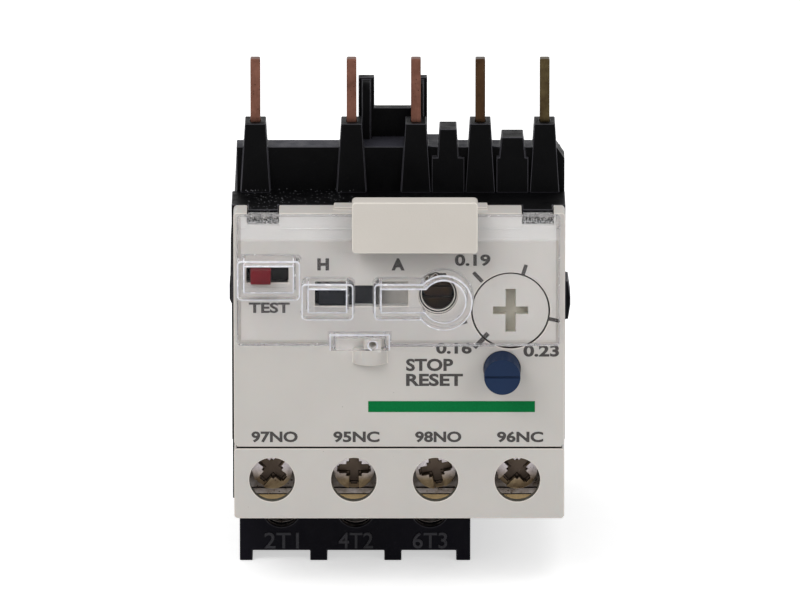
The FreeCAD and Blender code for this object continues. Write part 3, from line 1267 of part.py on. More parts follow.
def parts():
    """Every node's name and solid."""
    nodes = {
        "base_housing": base_housing(), "rear_cover": rear_cover(), "case_screws": case_screws(),
        "load_terminal_block": load_terminal_block(), "prong_carrier": prong_carrier(),
        "contactor_hook": contactor_hook(), "front_cover": front_cover(),
        "cover_hinge_pins": cover_hinge_pins(), "lower_terminal_cover": lower_terminal_cover(),
        "marker_holder": marker_holder(), "clear_cover": clear_cover(), "slide_guide": slide_guide(),
        "setting_dial": setting_dial(), "setting_follower": setting_follower(),
        "reset_button": reset_button(), "reset_spring": reset_spring(), "test_slider": test_slider(),
        "selector_slide": selector_slide(), "calibration_screw": calibration_screw(),
        "contact_carrier": contact_carrier(), "nc_bridge": contact_strip(1, 3),
        "no_bridge": contact_strip(0, 2), "fixed_contacts": fixed_contacts(),
        "moving_contacts": moving_contacts(), "snap_spring": snap_spring(),
        "push_bar": push_bar(), "pull_bar": pull_bar(), "differential_lever": differential_lever(),
        "trip_lever": trip_lever(), "lever_pin": lever_pin(), "mechanism_frame": mechanism_frame(),
        "bimetal_strips": bimetal_strips(), "heater_sleeves": heater_sleeves(),
        "heater_coils": heater_coils(),
    }
    for i in range(PHASES):
        tag = str(i + 1)
        nodes["power_prong_" + tag] = power_prong(i)
        nodes["load_busbar_" + tag] = load_busbar(i)
        nodes["load_clamp_" + tag] = load_clamp(i)
        nodes["load_screw_" + tag] = load_screw(i)
    for i in range(PHASES, len(TOWER_X)):
        nodes["control_prong_" + str(i - PHASES + 1)] = control_prong(i)
    for i in range(CONTROL_COUNT):
        tag = str(i + 1)
        nodes["control_terminal_" + tag] = control_terminal(i)
        nodes["control_clamp_" + tag] = control_clamp(i)
        nodes["control_screw_" + tag] = control_screw(i)
    return nodes


os.makedirs("parts", exist_ok=True)
for name, shape in parts().items():
    shape.exportStep("parts/" + name + ".step")
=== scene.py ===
import math

import bmesh
import bpy
from mathutils import Matrix, Vector


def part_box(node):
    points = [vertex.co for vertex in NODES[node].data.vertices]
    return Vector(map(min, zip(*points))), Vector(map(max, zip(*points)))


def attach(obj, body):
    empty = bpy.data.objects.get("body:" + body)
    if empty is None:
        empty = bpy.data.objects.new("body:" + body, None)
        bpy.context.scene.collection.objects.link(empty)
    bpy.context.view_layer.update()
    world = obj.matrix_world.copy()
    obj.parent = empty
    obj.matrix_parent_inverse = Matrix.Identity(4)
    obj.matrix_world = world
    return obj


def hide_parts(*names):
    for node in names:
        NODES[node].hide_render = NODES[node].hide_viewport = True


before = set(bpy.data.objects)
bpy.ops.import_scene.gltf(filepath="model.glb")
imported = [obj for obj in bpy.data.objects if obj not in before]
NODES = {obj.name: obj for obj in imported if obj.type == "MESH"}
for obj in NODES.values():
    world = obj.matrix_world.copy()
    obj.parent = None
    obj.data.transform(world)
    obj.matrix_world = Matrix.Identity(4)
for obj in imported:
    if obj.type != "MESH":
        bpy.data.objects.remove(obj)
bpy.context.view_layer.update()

MM = 0.001

# ---- places in millimetres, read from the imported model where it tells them


def low(node):
    """A CAD node's lowest corner at rest, in millimetres."""
    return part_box(node)[0] / MM


def high(node):
    """A CAD node's highest corner at rest, in millimetres."""
    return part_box(node)[1] / MM


def middle(node):
    """The middle of a CAD node's box at rest, in millimetres."""
    return (low(node) + high(node)) / 2


# Lengths that reach past everything: from the front panel backward, and across or up.
TO_THE_BACK = 20.0
BEYOND = 60.0

PANEL_Y = low("lower_terminal_cover").y
DIAL = middle("setting_dial")
DIAL_R = 5.05
DIAL_CROSS_R = 3.4
DIAL_GAP_R = (DIAL_R - 0.06, DIAL_R + 0.3)
BLOCK_FRONT = low("load_terminal_block").y
TERMINAL_X = [middle(f"control_screw_{i}").x for i in range(1, 5)]
PHASE_X = [middle(f"load_screw_{i}").x for i in range(1, 4)]
SHELF_TOP = high("base_housing").z
# The contactor hook's foot reaches this far down into the shoulder.
HOOK_FOOT = 2.35
SHOULDER_TOP = low("contactor_hook").z + HOOK_FOOT
SHOULDER_SETBACK = 11.6
SHOULDER_Y = (PANEL_Y + SHOULDER_SETBACK, high("prong_carrier").y)
# The part of the shelf on which dust lies.
DUSTY_X = (low("base_housing").x + 2.0, -6.0)
# Openings in the cream covers and the joint between them, in which the cream gets painted shade.
TEST_SLOT_X = (-20.3, -14.6)
TEST_SLOT_Z = (42.65, 44.8)
WELL = middle("calibration_screw")
WELL_R = 2.62
SCREW_Z = middle("control_screw_1").z
SCREW_FRONT = low("control_screw_1").y
SCREW_HOLES_X = (-21.5, 21.5)
SCREW_HOLES_Z = (12.4, 19.0)
COVER_JOINT_Z = (high("lower_terminal_cover").z - 0.04, low("front_cover").z + 0.05)
# The clear cover: what lies inside its rims, where its matt band starts and where it is smudged.
COVER_RIM_X = (low("clear_cover").x + 0.55, high("clear_cover").x - 0.55)
COVER_RIM_Z = (low("clear_cover").z + 0.9, BEYOND)
BAND_BOTTOM = 48.6
NOTCH_X = ((-20.1, -15.9), (16.0, 20.2))
NOTCH_Z = (51.0, 52.0)
# From dark to light on the plate behind the selector's slot.
SHADE_X = (-3.6, 1.1)

# ---- materials


def srgb(red, green, blue):
    """A colour for a shader from values as a screen shows them, 0 to 255."""
    def linear(value):
        share = value / 255
        return share / 12.92 if share <= 0.04045 else ((share + 0.055) / 1.055) ** 2.4
    return (linear(red), linear(green), linear(blue), 1.0)


def lighter(colour, factor):
    """A colour made lighter or darker by a factor."""
    return tuple(min(1.0, c * factor) for c in colour[:3]) + (1.0,)


# Spans in which most values of a plain noise and of a rough one lie.
MOST_OF_NOISE = (0.3, 0.7)
STAIN_SPAN = (0.32, 0.66)
# How far patterns are drawn out along each axis.
EVEN = (1.0, 1.0, 1.0)
UPWARD = (1.0, 1.0, 6.0)
# The numbers of a Mix node's colour sockets, which share their names with its other sockets.
COLOUR_INPUTS = (6, 7)
COLOUR_OUTPUT = 2


class Finish:
    """A material being made: its Principled shader, and short calls for what feeds it."""

    def __init__(self, name, **sockets):
        self.material = bpy.data.materials.new(name)
        self.material.use_nodes = True
        self.tree = self.material.node_tree
        self.shader = self.tree.nodes["Principled BSDF"]
        self.place = self.tree.nodes.new("ShaderNodeTexCoord").outputs["Object"]
        for socket, value in sockets.items():
            self.shader.inputs[socket.replace("_", " ")].default_value = value

    def node(self, kind, **settings):
        """A new shader node of a kind, with its settings."""
        made = self.tree.nodes.new("ShaderNode" + kind)
        for setting, value in settings.items():
            setattr(made, setting, value)
        return made

    def join(self, output, node, socket):
        """Links an output to a node's input, given by its name or number."""
        self.tree.links.new(output, node.inputs[socket])

    def stretched(self, stretch):
        """The place of a point with each axis drawn out by a factor."""
        mapping = self.node("Mapping")
        mapping.inputs["Scale"].default_value = tuple(1 / s for s in stretch)
        self.join(self.place, mapping, "Vector")
        return mapping.outputs["Vector"]

    def noise(self, size, detail=2.0, roughness=0.5, stretch=None):
        """Cloudy values from 0 to 1, in patches of a size in millimetres."""
        noise = self.node("TexNoise")
        noise.inputs["Scale"].default_value = 1 / (size * MM)
        noise.inputs["Detail"].default_value = detail
        noise.inputs["Roughness"].default_value = roughness
        self.join(self.stretched(stretch) if stretch else self.place, noise, "Vector")
        return noise.outputs["Fac"]

    def cells(self, size, stretch=None):
        """Distances from the middles of scattered cells, for specks."""
        cells = self.node("TexVoronoi")
        cells.inputs["Scale"].default_value = 1 / (size * MM)
        self.join(self.stretched(stretch) if stretch else self.place, cells, "Vector")
        return cells.outputs["Distance"]

    def span(self, value, old, new):
        """A value moved from one range to another, kept inside it."""
        span = self.node("MapRange")
        span.inputs["From Min"].default_value, span.inputs["From Max"].default_value = old
        span.inputs["To Min"].default_value, span.inputs["To Max"].default_value = new
        self.join(value, span, "Value")
        return span.outputs["Result"]

    def either(self, switch, off, on):
        """One value where a switch is 0, another where it is 1."""
        return self.span(switch, (0.0, 1.0), (off, on))

    def sum(self, one, other, operation="ADD"):
        """Two values added, or joined by another operation."""
        sum_node = self.node("Math", operation=operation)
        self.join(one, sum_node, 0)
        self.join(other, sum_node, 1)
        return sum_node.outputs["Value"]

    def product(self, one, other):
        """Two values multiplied."""
        return self.sum(one, other, "MULTIPLY")

    def axis(self, letter):
        """One coordinate of a point, in metres."""
        split = self.node("SeparateXYZ")
        self.join(self.place, split, "Vector")
        return split.outputs[letter.upper()]

    def between(self, value, least, most):
        """1 where a length in metres lies between two in millimetres, else 0."""
        compare = self.node("Math", operation="COMPARE")
        self.join(value, compare, 0)
        compare.inputs[1].default_value = (least + most) / 2 * MM
        compare.inputs[2].default_value = (most - least) / 2 * MM
        return compare.outputs["Value"]

    def within(self, **spans):
        """1 inside a box given by its spans in millimetres, else 0."""
        inside = [self.between(self.axis(letter), *span) for letter, span in spans.items()]
        while len(inside) > 1:
            inside.append(self.product(inside.pop(), inside.pop()))
        return inside[0]

    def near_axis(self, x, z, radius, front):
        """1 within a radius of an axis along Y and behind a depth, else 0, in millimetres."""
        offsets = []
        for letter, centre in (("x", x), ("z", z)):
            away = self.node("Math", operation="SUBTRACT")
            self.join(self.axis(letter), away, 0)
            away.inputs[1].default_value = centre * MM
            offsets.append(self.product(away.outputs["Value"], away.outputs["Value"]))
        distance = self.node("Math", operation="SQRT")
        self.join(self.sum(*offsets), distance, 0)
        close = self.between(distance.outputs["Value"], 0.0, radius)
        return self.product(close, self.between(self.axis("y"), front, front + TO_THE_BACK))

    def ramp(self, value, first, last, span=MOST_OF_NOISE):
        """A colour for each value, which runs from the first to the last over a span."""
        ramp = self.node("ValToRGB")
        for element, position, colour in zip(ramp.color_ramp.elements, span, (first, last)):
            element.position, element.color = position, colour
        self.join(value, ramp, "Fac")
        return ramp.outputs["Color"]

    def blend(self, share, one, other):
        """One colour turning to another, each a socket or a plain colour."""
        mix = self.node("Mix", data_type="RGBA", blend_type="MIX")
        self.join(share, mix, "Factor")
        for colour, number in zip((one, other), COLOUR_INPUTS):
            if isinstance(colour, tuple):
                mix.inputs[number].default_value = colour
            else:
                self.join(colour, mix, number)
        return mix.outputs[COLOUR_OUTPUT]

    def colour(self, output):
        """Sets the shader's colour."""
        self.join(output, self.shader, "Base Color")

    def rough(self, value, least, most):
        """Roughness that follows a noise between two values."""
        self.join(self.span(value, MOST_OF_NOISE, (least, most)), self.shader, "Roughness")

    def relief(self, value, depth):
        """Bumps of a depth in millimetres."""
        bump = self.node("Bump")
        bump.inputs["Distance"].default_value = depth * MM
        bump.inputs["Strength"].default_value = 1.0
        self.join(value, bump, "Height")
        self.join(bump.outputs["Normal"], self.shader, "Normal")


def moulded(name, colour, gloss=(0.36, 0.5), grain=0.14, relief=0.012, mottle=0.05, **sockets):
    """Moulded plastic: faint mottling, a fine spark-eroded grain and uneven gloss."""
    finish = Finish(name, **sockets)
    cloud = finish.noise(7.0, 3.0)
    finish.colour(finish.ramp(cloud, lighter(colour, 1 - mottle), lighter(colour, 1 + mottle)))
    fine = finish.noise(grain, 3.0, 0.6)
    finish.rough(finish.noise(2.2, 2.0), *gloss)
    finish.relief(fine, relief)
    return finish


def black_moulding(name, black):
    """Glass-filled black plastic with a slow change of tone and a spark-eroded grain."""
    finish = Finish(name, Specular_IOR_Level=0.05)
    cloud = finish.noise(5.0, 4.0, 0.6)
    base = finish.ramp(cloud, lighter(black, 0.75), lighter(black, 1.3))
    finish.colour(base)
    finish.rough(finish.noise(1.6, 3.0), 0.34, 0.56)
    finish.relief(finish.noise(0.13, 3.0, 0.65), 0.02)
    return finish, base


def black_plastic():
    """Black plastic with a painted sheen on the shoulder's upper faces and dust on the shelf."""
    finish, base = black_moulding("black_plastic", srgb(6, 6, 7))
    # Painted sheen: the shoulder's upper faces are painted lighter, standing in for the light they reflect.
    painted_sheen_top = finish.within(y=SHOULDER_Y, z=(SHOULDER_TOP - 0.03, SHOULDER_TOP + 0.03))
    base = finish.blend(painted_sheen_top, base, srgb(53, 53, 60))
    specks = finish.span(finish.cells(0.4, (1.0, 2.2, 1.0)), (0.14, 0.24), (1.0, 0.0))
    patches = finish.span(finish.noise(3.0, 2.0), (0.36, 0.56), (0.25, 1.0))
    shelf = finish.within(x=DUSTY_X, z=(SHELF_TOP - 1.5, SHELF_TOP + 0.4))
    dust = finish.product(finish.product(specks, patches), shelf)
    finish.colour(finish.blend(dust, base, srgb(104, 104, 107)))
    return finish.material


def block_black():
    """The bluer black of the load terminal block."""
    return black_moulding("block_black", srgb(16, 15, 21))[0].material


def edge_highlight_black():
    """The paler edges of the black mouldings, a painted highlight where light catches them."""
    finish = moulded("edge_highlight_black", srgb(50, 49, 54), (0.3, 0.5), mottle=0.35, Specular_IOR_Level=0.2)
    return finish.material


CREAM = srgb(195, 191, 186)


def cream_plastic():
    """Cream thermoplastic, with painted shade inside the slot, the well, the screw holes, the joints, the
    dial's gap and its cross recess.
    """
    finish = Finish("cream_plastic", Specular_IOR_Level=0.3, Subsurface_Weight=0.1, Subsurface_Scale=0.5 * MM)
    cloud = finish.noise(7.0, 3.0)
    base = finish.ramp(cloud, lighter(CREAM, 0.975), lighter(CREAM, 1.02))
    specks = finish.span(finish.cells(2.6), (0.02, 0.035), (0.5, 0.0))
    base = finish.blend(specks, base, srgb(120, 112, 104))
    behind = (PANEL_Y + 0.06, PANEL_Y + 5.0)
    # Painted shade: the cream inside the test slot and the calibration well is painted nearly black.
    slot = finish.within(x=TEST_SLOT_X, y=behind, z=TEST_SLOT_Z)
    well = finish.near_axis(WELL.x, WELL.z, WELL_R, behind[0])
    dark = finish.sum(slot, well, "MAXIMUM")
    base = finish.blend(dark, base, srgb(30, 28, 28))
    # Painted shade inside the control screw holes.
    screw_holes = finish.within(x=SCREW_HOLES_X, y=behind, z=SCREW_HOLES_Z)
    base = finish.blend(screw_holes, base, srgb(92, 90, 82))
    # Painted shade in the joint between the front cover and the cover below it.
    joint = finish.within(y=behind, z=COVER_JOINT_Z)
    base = finish.blend(joint, base, srgb(44, 38, 34))
    # Painted shade in the ring-shaped gap around the dial.
    gap_outer = finish.near_axis(DIAL.x, DIAL.z, DIAL_GAP_R[1], behind[0])
    gap_inner = finish.near_axis(DIAL.x, DIAL.z, DIAL_GAP_R[0], behind[0])
    base = finish.blend(finish.sum(gap_outer, gap_inner, "SUBTRACT"), base, srgb(46, 36, 32))
    # Painted shade, greyer and greener than the cream, on the floor of the dial's cross recess.
    recess = finish.near_axis(DIAL.x, DIAL.z, DIAL_CROSS_R, PANEL_Y + 0.35)
    finish.colour(finish.blend(recess, base, srgb(172, 167, 153)))
    finish.rough(finish.noise(2.2, 2.0), 0.42, 0.56)
    finish.relief(finish.noise(0.14, 3.0, 0.6), 0.01)
    return finish.material


def shaded_cream():
    """Cream plate behind the selector's slot, dark at its left where less light reaches it."""
    finish = moulded("shaded_cream", CREAM, Specular_IOR_Level=0.2)
    share = finish.span(finish.axis("x"), (SHADE_X[0] * MM, SHADE_X[1] * MM), (0.0, 1.0))
    finish.colour(finish.ramp(share, srgb(4, 4, 4), srgb(255, 250, 242), (0.0, 1.0)))
    return finish.material


def cream_edge():
    """Thin edges of the cream mouldings, painted paler as a painted highlight."""
    finish = moulded("cream_edge", srgb(214, 208, 200), (0.4, 0.5), mottle=0.02, Specular_IOR_Level=0.3)
    return finish.material


def marker_plastic():
    """The paler, coarser cream of the marker holder."""
    finish = moulded("marker_plastic", srgb(203, 197, 189), (0.5, 0.62), grain=0.22, relief=0.02,
                     mottle=0.02, Specular_IOR_Level=0.25)
    return finish.material


def marker_edge():
    """Edges of the marker holder, painted paler as a painted highlight."""
    finish = moulded("marker_edge", srgb(224, 218, 209), (0.45, 0.55), mottle=0.01, Specular_IOR_Level=0.3)
    return finish.material


def lets_lamps_through(finish, tint):
    """Mixes a Transparent shader in for rays from lamps."""
    through = finish.node("BsdfTransparent")
    through.inputs["Color"].default_value = tint
    rays = finish.node("LightPath")
    mix = finish.node("MixShader")
    finish.join(rays.outputs["Is Shadow Ray"], mix, "Fac")
    finish.join(finish.shader.outputs["BSDF"], mix, 1)
    finish.join(through.outputs["BSDF"], mix, 2)
    finish.join(mix.outputs["Shader"], finish.tree.nodes["Material Output"], "Surface")


def clear_plastic():
    """Clear polycarbonate: faint scratches, grey rims of painted shade, dark smudges and a matt band at the
    top.
    """
    finish = Finish("clear_plastic", IOR=1.18, Specular_IOR_Level=0.5)
    clear = (0.975, 0.975, 0.98, 1.0)
    # Painted shade: a grey tint along the plate's borders.
    plate = finish.within(y=(PANEL_Y - 1.5, PANEL_Y))
    middle_part = finish.within(x=COVER_RIM_X, z=COVER_RIM_Z)
    painted_rim_shade = finish.product(plate, finish.either(middle_part, 1.0, 0.0))
    tint = finish.blend(painted_rim_shade, clear, (0.78, 0.77, 0.76, 1.0))
    specks = finish.span(finish.noise(0.22, 2.0, 0.5), (0.46, 0.54), (0.0, 1.0))
    for span in NOTCH_X:
        smudge = finish.product(finish.within(x=span, z=NOTCH_Z), specks)
        tint = finish.blend(smudge, tint, (0.09, 0.09, 0.085, 1.0))
    finish.colour(tint)
    band = finish.within(z=(BAND_BOTTOM, SHELF_TOP + 1.0))
    finish.join(finish.either(band, 1.0, 0.82), finish.shader, "Transmission Weight")
    scratch = finish.noise(1.1, 4.0, 0.7, stretch=(1.0, 1.0, 0.12))
    smooth = finish.span(scratch, MOST_OF_NOISE, (0.015, 0.05))
    matt = finish.either(band, 0.0, 0.2)
    finish.join(finish.sum(smooth, matt), finish.shader, "Roughness")
    finish.relief(finish.noise(9.0, 1.0), 0.006)
    lets_lamps_through(finish, (0.94, 0.94, 0.95, 1.0))
    return finish.material


def clear_edge():
    """The rims of the clear moulding: a painted highlight, near white, and pale grey on the plate."""
    finish = Finish("clear_edge", IOR=1.4, Specular_IOR_Level=0.6)
    cloud = finish.noise(0.8, 3.0)
    painted_rim_highlight = finish.ramp(cloud, srgb(212, 212, 224), srgb(250, 250, 255))
    plate = finish.within(y=(PANEL_Y - 1.6, PANEL_Y))
    finish.colour(finish.blend(plate, painted_rim_highlight, srgb(205, 203, 204)))
    finish.join(finish.either(plate, 0.25, 0.75), finish.shader, "Transmission Weight")
    finish.rough(cloud, 0.08, 0.3)
    lets_lamps_through(finish, (0.9, 0.9, 0.92, 1.0))
    return finish.material


def blue_plastic():
    """Dark blue of the reset button."""
    finish = moulded("blue_plastic", srgb(25, 42, 70), (0.4, 0.5), mottle=0.1, Specular_IOR_Level=0.12)
    return finish.material


def red_plastic():
    """Red knob on a black slide."""
    finish = moulded("red_plastic", srgb(118, 20, 32), (0.34, 0.46), mottle=0.06, Specular_IOR_Level=0.08)
    cloud = finish.noise(2.0, 3.0)
    red = finish.ramp(cloud, srgb(92, 12, 22), srgb(114, 18, 28))
    slide = finish.within(y=(PANEL_Y + 1.0, PANEL_Y + TO_THE_BACK))
    finish.colour(finish.blend(slide, red, srgb(16, 15, 17)))
    return finish.material


def dark_plastic():
    """Slate grey of the selector's slide."""
    finish = moulded("dark_plastic", srgb(20, 22, 28), (0.32, 0.45), mottle=0.15, Specular_IOR_Level=0.12)
    return finish.material


def worn_metal(name, bright, dull, gloss, patch=2.5, brush=UPWARD, pitting=0.7):
    """Metal with stains, fine scratches drawn out along an axis and small pits."""
    finish = Finish(name, Metallic=1.0)
    stain = finish.noise(patch, 5.0, 0.65)
    scratch = finish.noise(0.09, 2.0, 0.5, stretch=brush)
    tone = finish.ramp(stain, dull, bright, STAIN_SPAN)
    tone = finish.blend(finish.span(scratch, MOST_OF_NOISE, (0.0, 0.45)), tone, lighter(bright, 0.5))
    pits = finish.span(finish.cells(pitting), (0.08, 0.14), (0.8, 0.0))
    finish.colour(finish.blend(pits, tone, lighter(dull, 0.25)))
    finish.rough(stain, *gloss)
    finish.relief(scratch, 0.008)
    return finish.material


def copper():
    """Browned copper of the power blades."""
    return worn_metal("copper", srgb(127, 88, 75), srgb(84, 55, 45), (0.35, 0.55))


def brass():
    """Brass that darkens from olive on the right to brown on the left."""
    finish = Finish("brass", Metallic=1.0)
    stain = finish.noise(2.5, 5.0, 0.65)
    scratch = finish.noise(0.09, 2.0, 0.5, stretch=UPWARD)
    olive = finish.ramp(stain, srgb(60, 49, 32), srgb(90, 79, 54), STAIN_SPAN)
    brown = finish.ramp(stain, srgb(53, 37, 26), srgb(80, 58, 40), STAIN_SPAN)
    tone = finish.blend(finish.within(x=(TERMINAL_X[3] + 1.0, BEYOND)), brown, olive)
    tone = finish.blend(finish.span(scratch, MOST_OF_NOISE, (0.0, 0.45)), tone, srgb(46, 37, 26))
    finish.colour(tone)
    finish.rough(stain, 0.3, 0.5)
    finish.relief(scratch, 0.008)
    return finish.material


def plated_steel():
    """Yellowed zinc plating."""
    return worn_metal("plated_steel", srgb(176, 168, 164), srgb(104, 88, 70), (0.22, 0.42), 1.6, EVEN, 1.1)


def shaded_steel():
    """Steel at the bottom of the well, in dark browns with painted shade."""
    return worn_metal("shaded_steel", srgb(92, 66, 48), srgb(34, 28, 26), (0.4, 0.6), 1.2, EVEN, 1.0)


def screw_steel():
    """Passivated screw heads: silver above, bronze below, with painted shade down in the recess."""
    finish = Finish("screw_steel", Metallic=0.6)
    stain = finish.noise(1.3, 5.0, 0.65)
    silver_tone = finish.ramp(stain, srgb(180, 170, 172), srgb(244, 236, 238), STAIN_SPAN)
    bronze_tone = finish.ramp(stain, srgb(122, 100, 72), srgb(184, 160, 124), STAIN_SPAN)
    turn_of_tone = ((SCREW_Z - 1.6) * MM, (SCREW_Z + 0.3) * MM)
    lower = finish.span(finish.axis("z"), turn_of_tone, (1.0, 0.0))
    tone = finish.blend(lower, silver_tone, bronze_tone)
    # Painted shade: behind its front face the head is painted darker, and darker still deep in the drive.
    slot = finish.within(y=(SCREW_FRONT + 0.12, SCREW_FRONT + TO_THE_BACK))
    tone = finish.blend(slot, tone, srgb(132, 112, 86))
    deep = finish.within(y=(SCREW_FRONT + 0.6, SCREW_FRONT + TO_THE_BACK))
    finish.colour(finish.blend(deep, tone, srgb(84, 70, 58)))
    finish.rough(stain, 0.25, 0.45)
    finish.relief(finish.noise(0.4, 2.0), 0.012)
    return finish.material


def bronze():
    """Dull bronze of the plates in the control terminals."""
    return worn_metal("bronze", srgb(190, 166, 124), srgb(140, 118, 84), (0.4, 0.6), 2.5)


def silver():
    """Silver of the contact buttons."""
    return worn_metal("silver", srgb(225, 224, 220), srgb(150, 146, 138), (0.2, 0.4))


def heater_wire():
    """Grey resistance wire."""
    return worn_metal("heater_wire", srgb(150, 148, 146), srgb(88, 82, 78), (0.3, 0.5))


def bimetal():
    """Rolled bimetal strip."""
    return worn_metal("bimetal", srgb(188, 182, 172), srgb(122, 110, 98), (0.28, 0.45))


def glass_sleeve():
    """Woven glass-fibre sleeving."""
    finish = Finish("glass_sleeve")
    fibre = finish.noise(0.3, 2.0, stretch=(1.0, 5.0, 1.0))
    finish.colour(finish.ramp(fibre, srgb(196, 190, 172), srgb(232, 228, 214)))
    finish.rough(fibre, 0.6, 0.8)
    finish.relief(fibre, 0.05)
    return finish.material


def ink(name, colour, thin=1.5):
    """Printed ink: a flat film with worn thin spots."""
    finish = Finish(name, Specular_IOR_Level=0.08)
    cloud = finish.noise(0.25, 4.0, 0.7)
    finish.colour(finish.ramp(cloud, lighter(colour, 0.85), lighter(colour, thin), (0.35, 0.75)))
    finish.rough(cloud, 0.42, 0.6)
    finish.relief(cloud, 0.004)
    return finish.material


FINISHES = {make.__name__: make() for make in (
    black_plastic, cream_plastic, marker_plastic, clear_plastic, blue_plastic, red_plastic, dark_plastic,
    copper, brass, plated_steel, silver, heater_wire, bimetal, glass_sleeve)}
EDGE_HIGHLIGHT_BLACK = edge_highlight_black()
BLOCK_BLACK = block_black()
CREAM_EDGE = cream_edge()
CLEAR_EDGE = clear_edge()
SCREW_STEEL = screw_steel()
BRONZE = bronze()
SHADED_CREAM = shaded_cream()
SHADED_STEEL = shaded_steel()
MARKER_EDGE = marker_edge()
GREY_INK = ink("grey_ink", srgb(74, 71, 70))
GREEN_INK = ink("green_ink", srgb(0, 110, 56), 1.1)

# ---- the CAD nodes: rounded edges and materials

SHARP = math.radians(28)
FLAT = math.radians(0.8)
FLAT_AREA = 4.0 * MM * MM
WELD = 0.001 * MM
BEVEL_SEGMENTS = 2
# Widths of the rounded edges of simple nodes, by the node's material, in millimetres.
EDGE = {"marker_plastic": 0.1, "black_plastic": 0.1, "cream_plastic": 0.08, "blue_plastic": 0.12,
        "red_plastic": 0.12, "dark_plastic": 0.1, "copper": 0.06, "brass": 0.06, "plated_steel": 0.06}
# Nodes whose edges stay sharp, because they are round, tiny or hardly seen.
UNSEEN = ("heater_coils", "reset_spring", "snap_spring", "heater_sleeves", "fixed_contacts",
          "moving_contacts", "mechanism_frame", "slide_guide", "calibration_screw")
# Two edges face each other where their inward directions have a product under FACING,
# and each rounding needs ROOM times its width of the face between them.
FACING = -0.2
ROOM = 2.4


def bevelled(piece, width, method, edge_material=None):
    """Rounds a piece's edges, in a material of their own where one is given."""
    bevel = piece.modifiers.new("edges", "BEVEL")
    bevel.width = width * MM
    bevel.segments = BEVEL_SEGMENTS
    bevel.limit_method = method
    bevel.angle_limit = SHARP
    bevel.use_clamp_overlap = False
    bevel.loop_slide = False
    bevel.harden_normals = True
    if edge_material:
        piece.data.materials.append(edge_material)
        bevel.material = len(piece.data.materials) - 1


def soften(node, width):
    """Rounds a simple node's sharp edges, after joining the triangles of each flat face."""
    mesh = node.data
    for layer in ("custom_normal", "sharp_edge"):
        if layer in mesh.attributes:
            mesh.attributes.remove(mesh.attributes[layer])
    mesh.shade_smooth()
    weld = node.modifiers.new("weld", "WELD")
    weld.merge_threshold = WELD
    flat = node.modifiers.new("flat", "DECIMATE")
    flat.decimate_type = "DISSOLVE"
    flat.angle_limit = FLAT
    bevelled(node, width, "ANGLE")


def gap(one, other):
    """Least distance between two edges, judged at their ends and middles."""
    least = math.inf
    for first, second in ((one, other), (other, one)):
        a, b = (v.co for v in first.verts)
        along = b - a
        start, end = (v.co for v in second.verts)
        for point in (start, (start + end) / 2, end):
            share = max(0.0, min(1.0, (point - a).dot(along) / along.length_squared))
            least = min(least, (a + along * share - point).length)
    return least


def narrow_edges(shape, sharp, room):
    """The sharp edges that face another across less of a face than their rounding needs."""
    narrow = set()
    for face in shape.faces:
        borders = []
        for loop in face.loops:
            if loop.edge in sharp:
                start, end = loop.vert.co, loop.link_loop_next.vert.co
                inward = face.normal.cross((end - start).normalized())
                borders.append((loop.edge, inward, (start + end) / 2, (end - start).length / 2))
        for i, (one, inward, centre, reach) in enumerate(borders):
            for other, other_inward, other_centre, other_reach in borders[i + 1:]:
                if inward.dot(other_inward) > FACING:
                    continue
                if (centre - other_centre).length > reach + other_reach + room:
                    continue
                if gap(one, other) < room:
                    narrow.update((one, other))
    return narrow


def eased(source, name, width, lowered=None):
    """A copy of a mesh with whole flat faces and a bevel weight on each sharp edge that has room.

    Where lowered gives a height and a drop, all points below that height move down by the drop.
    """
    shape = bmesh.new()
    shape.from_mesh(source)
    bmesh.ops.remove_doubles(shape, verts=shape.verts[:], dist=WELD)
    if lowered:
        below, drop = lowered
        for vert in shape.verts:
            if vert.co.z < below * MM:
                vert.co.z -= drop * MM
    bmesh.ops.dissolve_limit(shape, angle_limit=FLAT, verts=shape.verts[:], edges=shape.edges[:])
    weight = shape.edges.layers.float.new("bevel_weight_edge")
    sharp = {e for e in shape.edges if e.is_manifold and e.calc_face_angle(0) > SHARP}
    narrow = narrow_edges(shape, sharp, ROOM * width * MM)
    for edge in shape.edges:
        edge[weight] = 1.0 if edge in sharp and edge not in narrow else 0.0
        edge.smooth = edge not in narrow
    for face in shape.faces:
        face.smooth = face.calc_area() < FLAT_AREA
    mesh = bpy.data.meshes.new(name)
    shape.to_mesh(mesh)
    shape.free()
    return mesh


def softened_copy(node_name, width, materials, body):
    """Replaces a many-sided node by a piece with every edge rounded that has room for it."""
    mesh = eased(NODES[node_name].data, node_name + "_shell", width, LOWERED.get(node_name))
    piece = place(node_name + "_shell", mesh, materials[0], body)
    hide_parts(node_name)
    bevelled(piece, width, "WEIGHT", materials[1])


def place(name, mesh, material, body):
    """A new piece with one material, which rides on a body."""
    piece = bpy.data.objects.new(name, mesh)
    bpy.context.scene.collection.objects.link(piece)
    mesh.materials.clear()
    mesh.materials.append(material)
    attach(piece, body)
    return piece


# ---- which nodes keep their own mesh and which are replaced

# Each material pair is a piece's own material and that of its edges.
# The black pieces' rounded edges are painted paler, as a painted highlight.
BLACK = (FINISHES["black_plastic"], EDGE_HIGHLIGHT_BLACK)
PALE = (FINISHES["cream_plastic"], CREAM_EDGE)
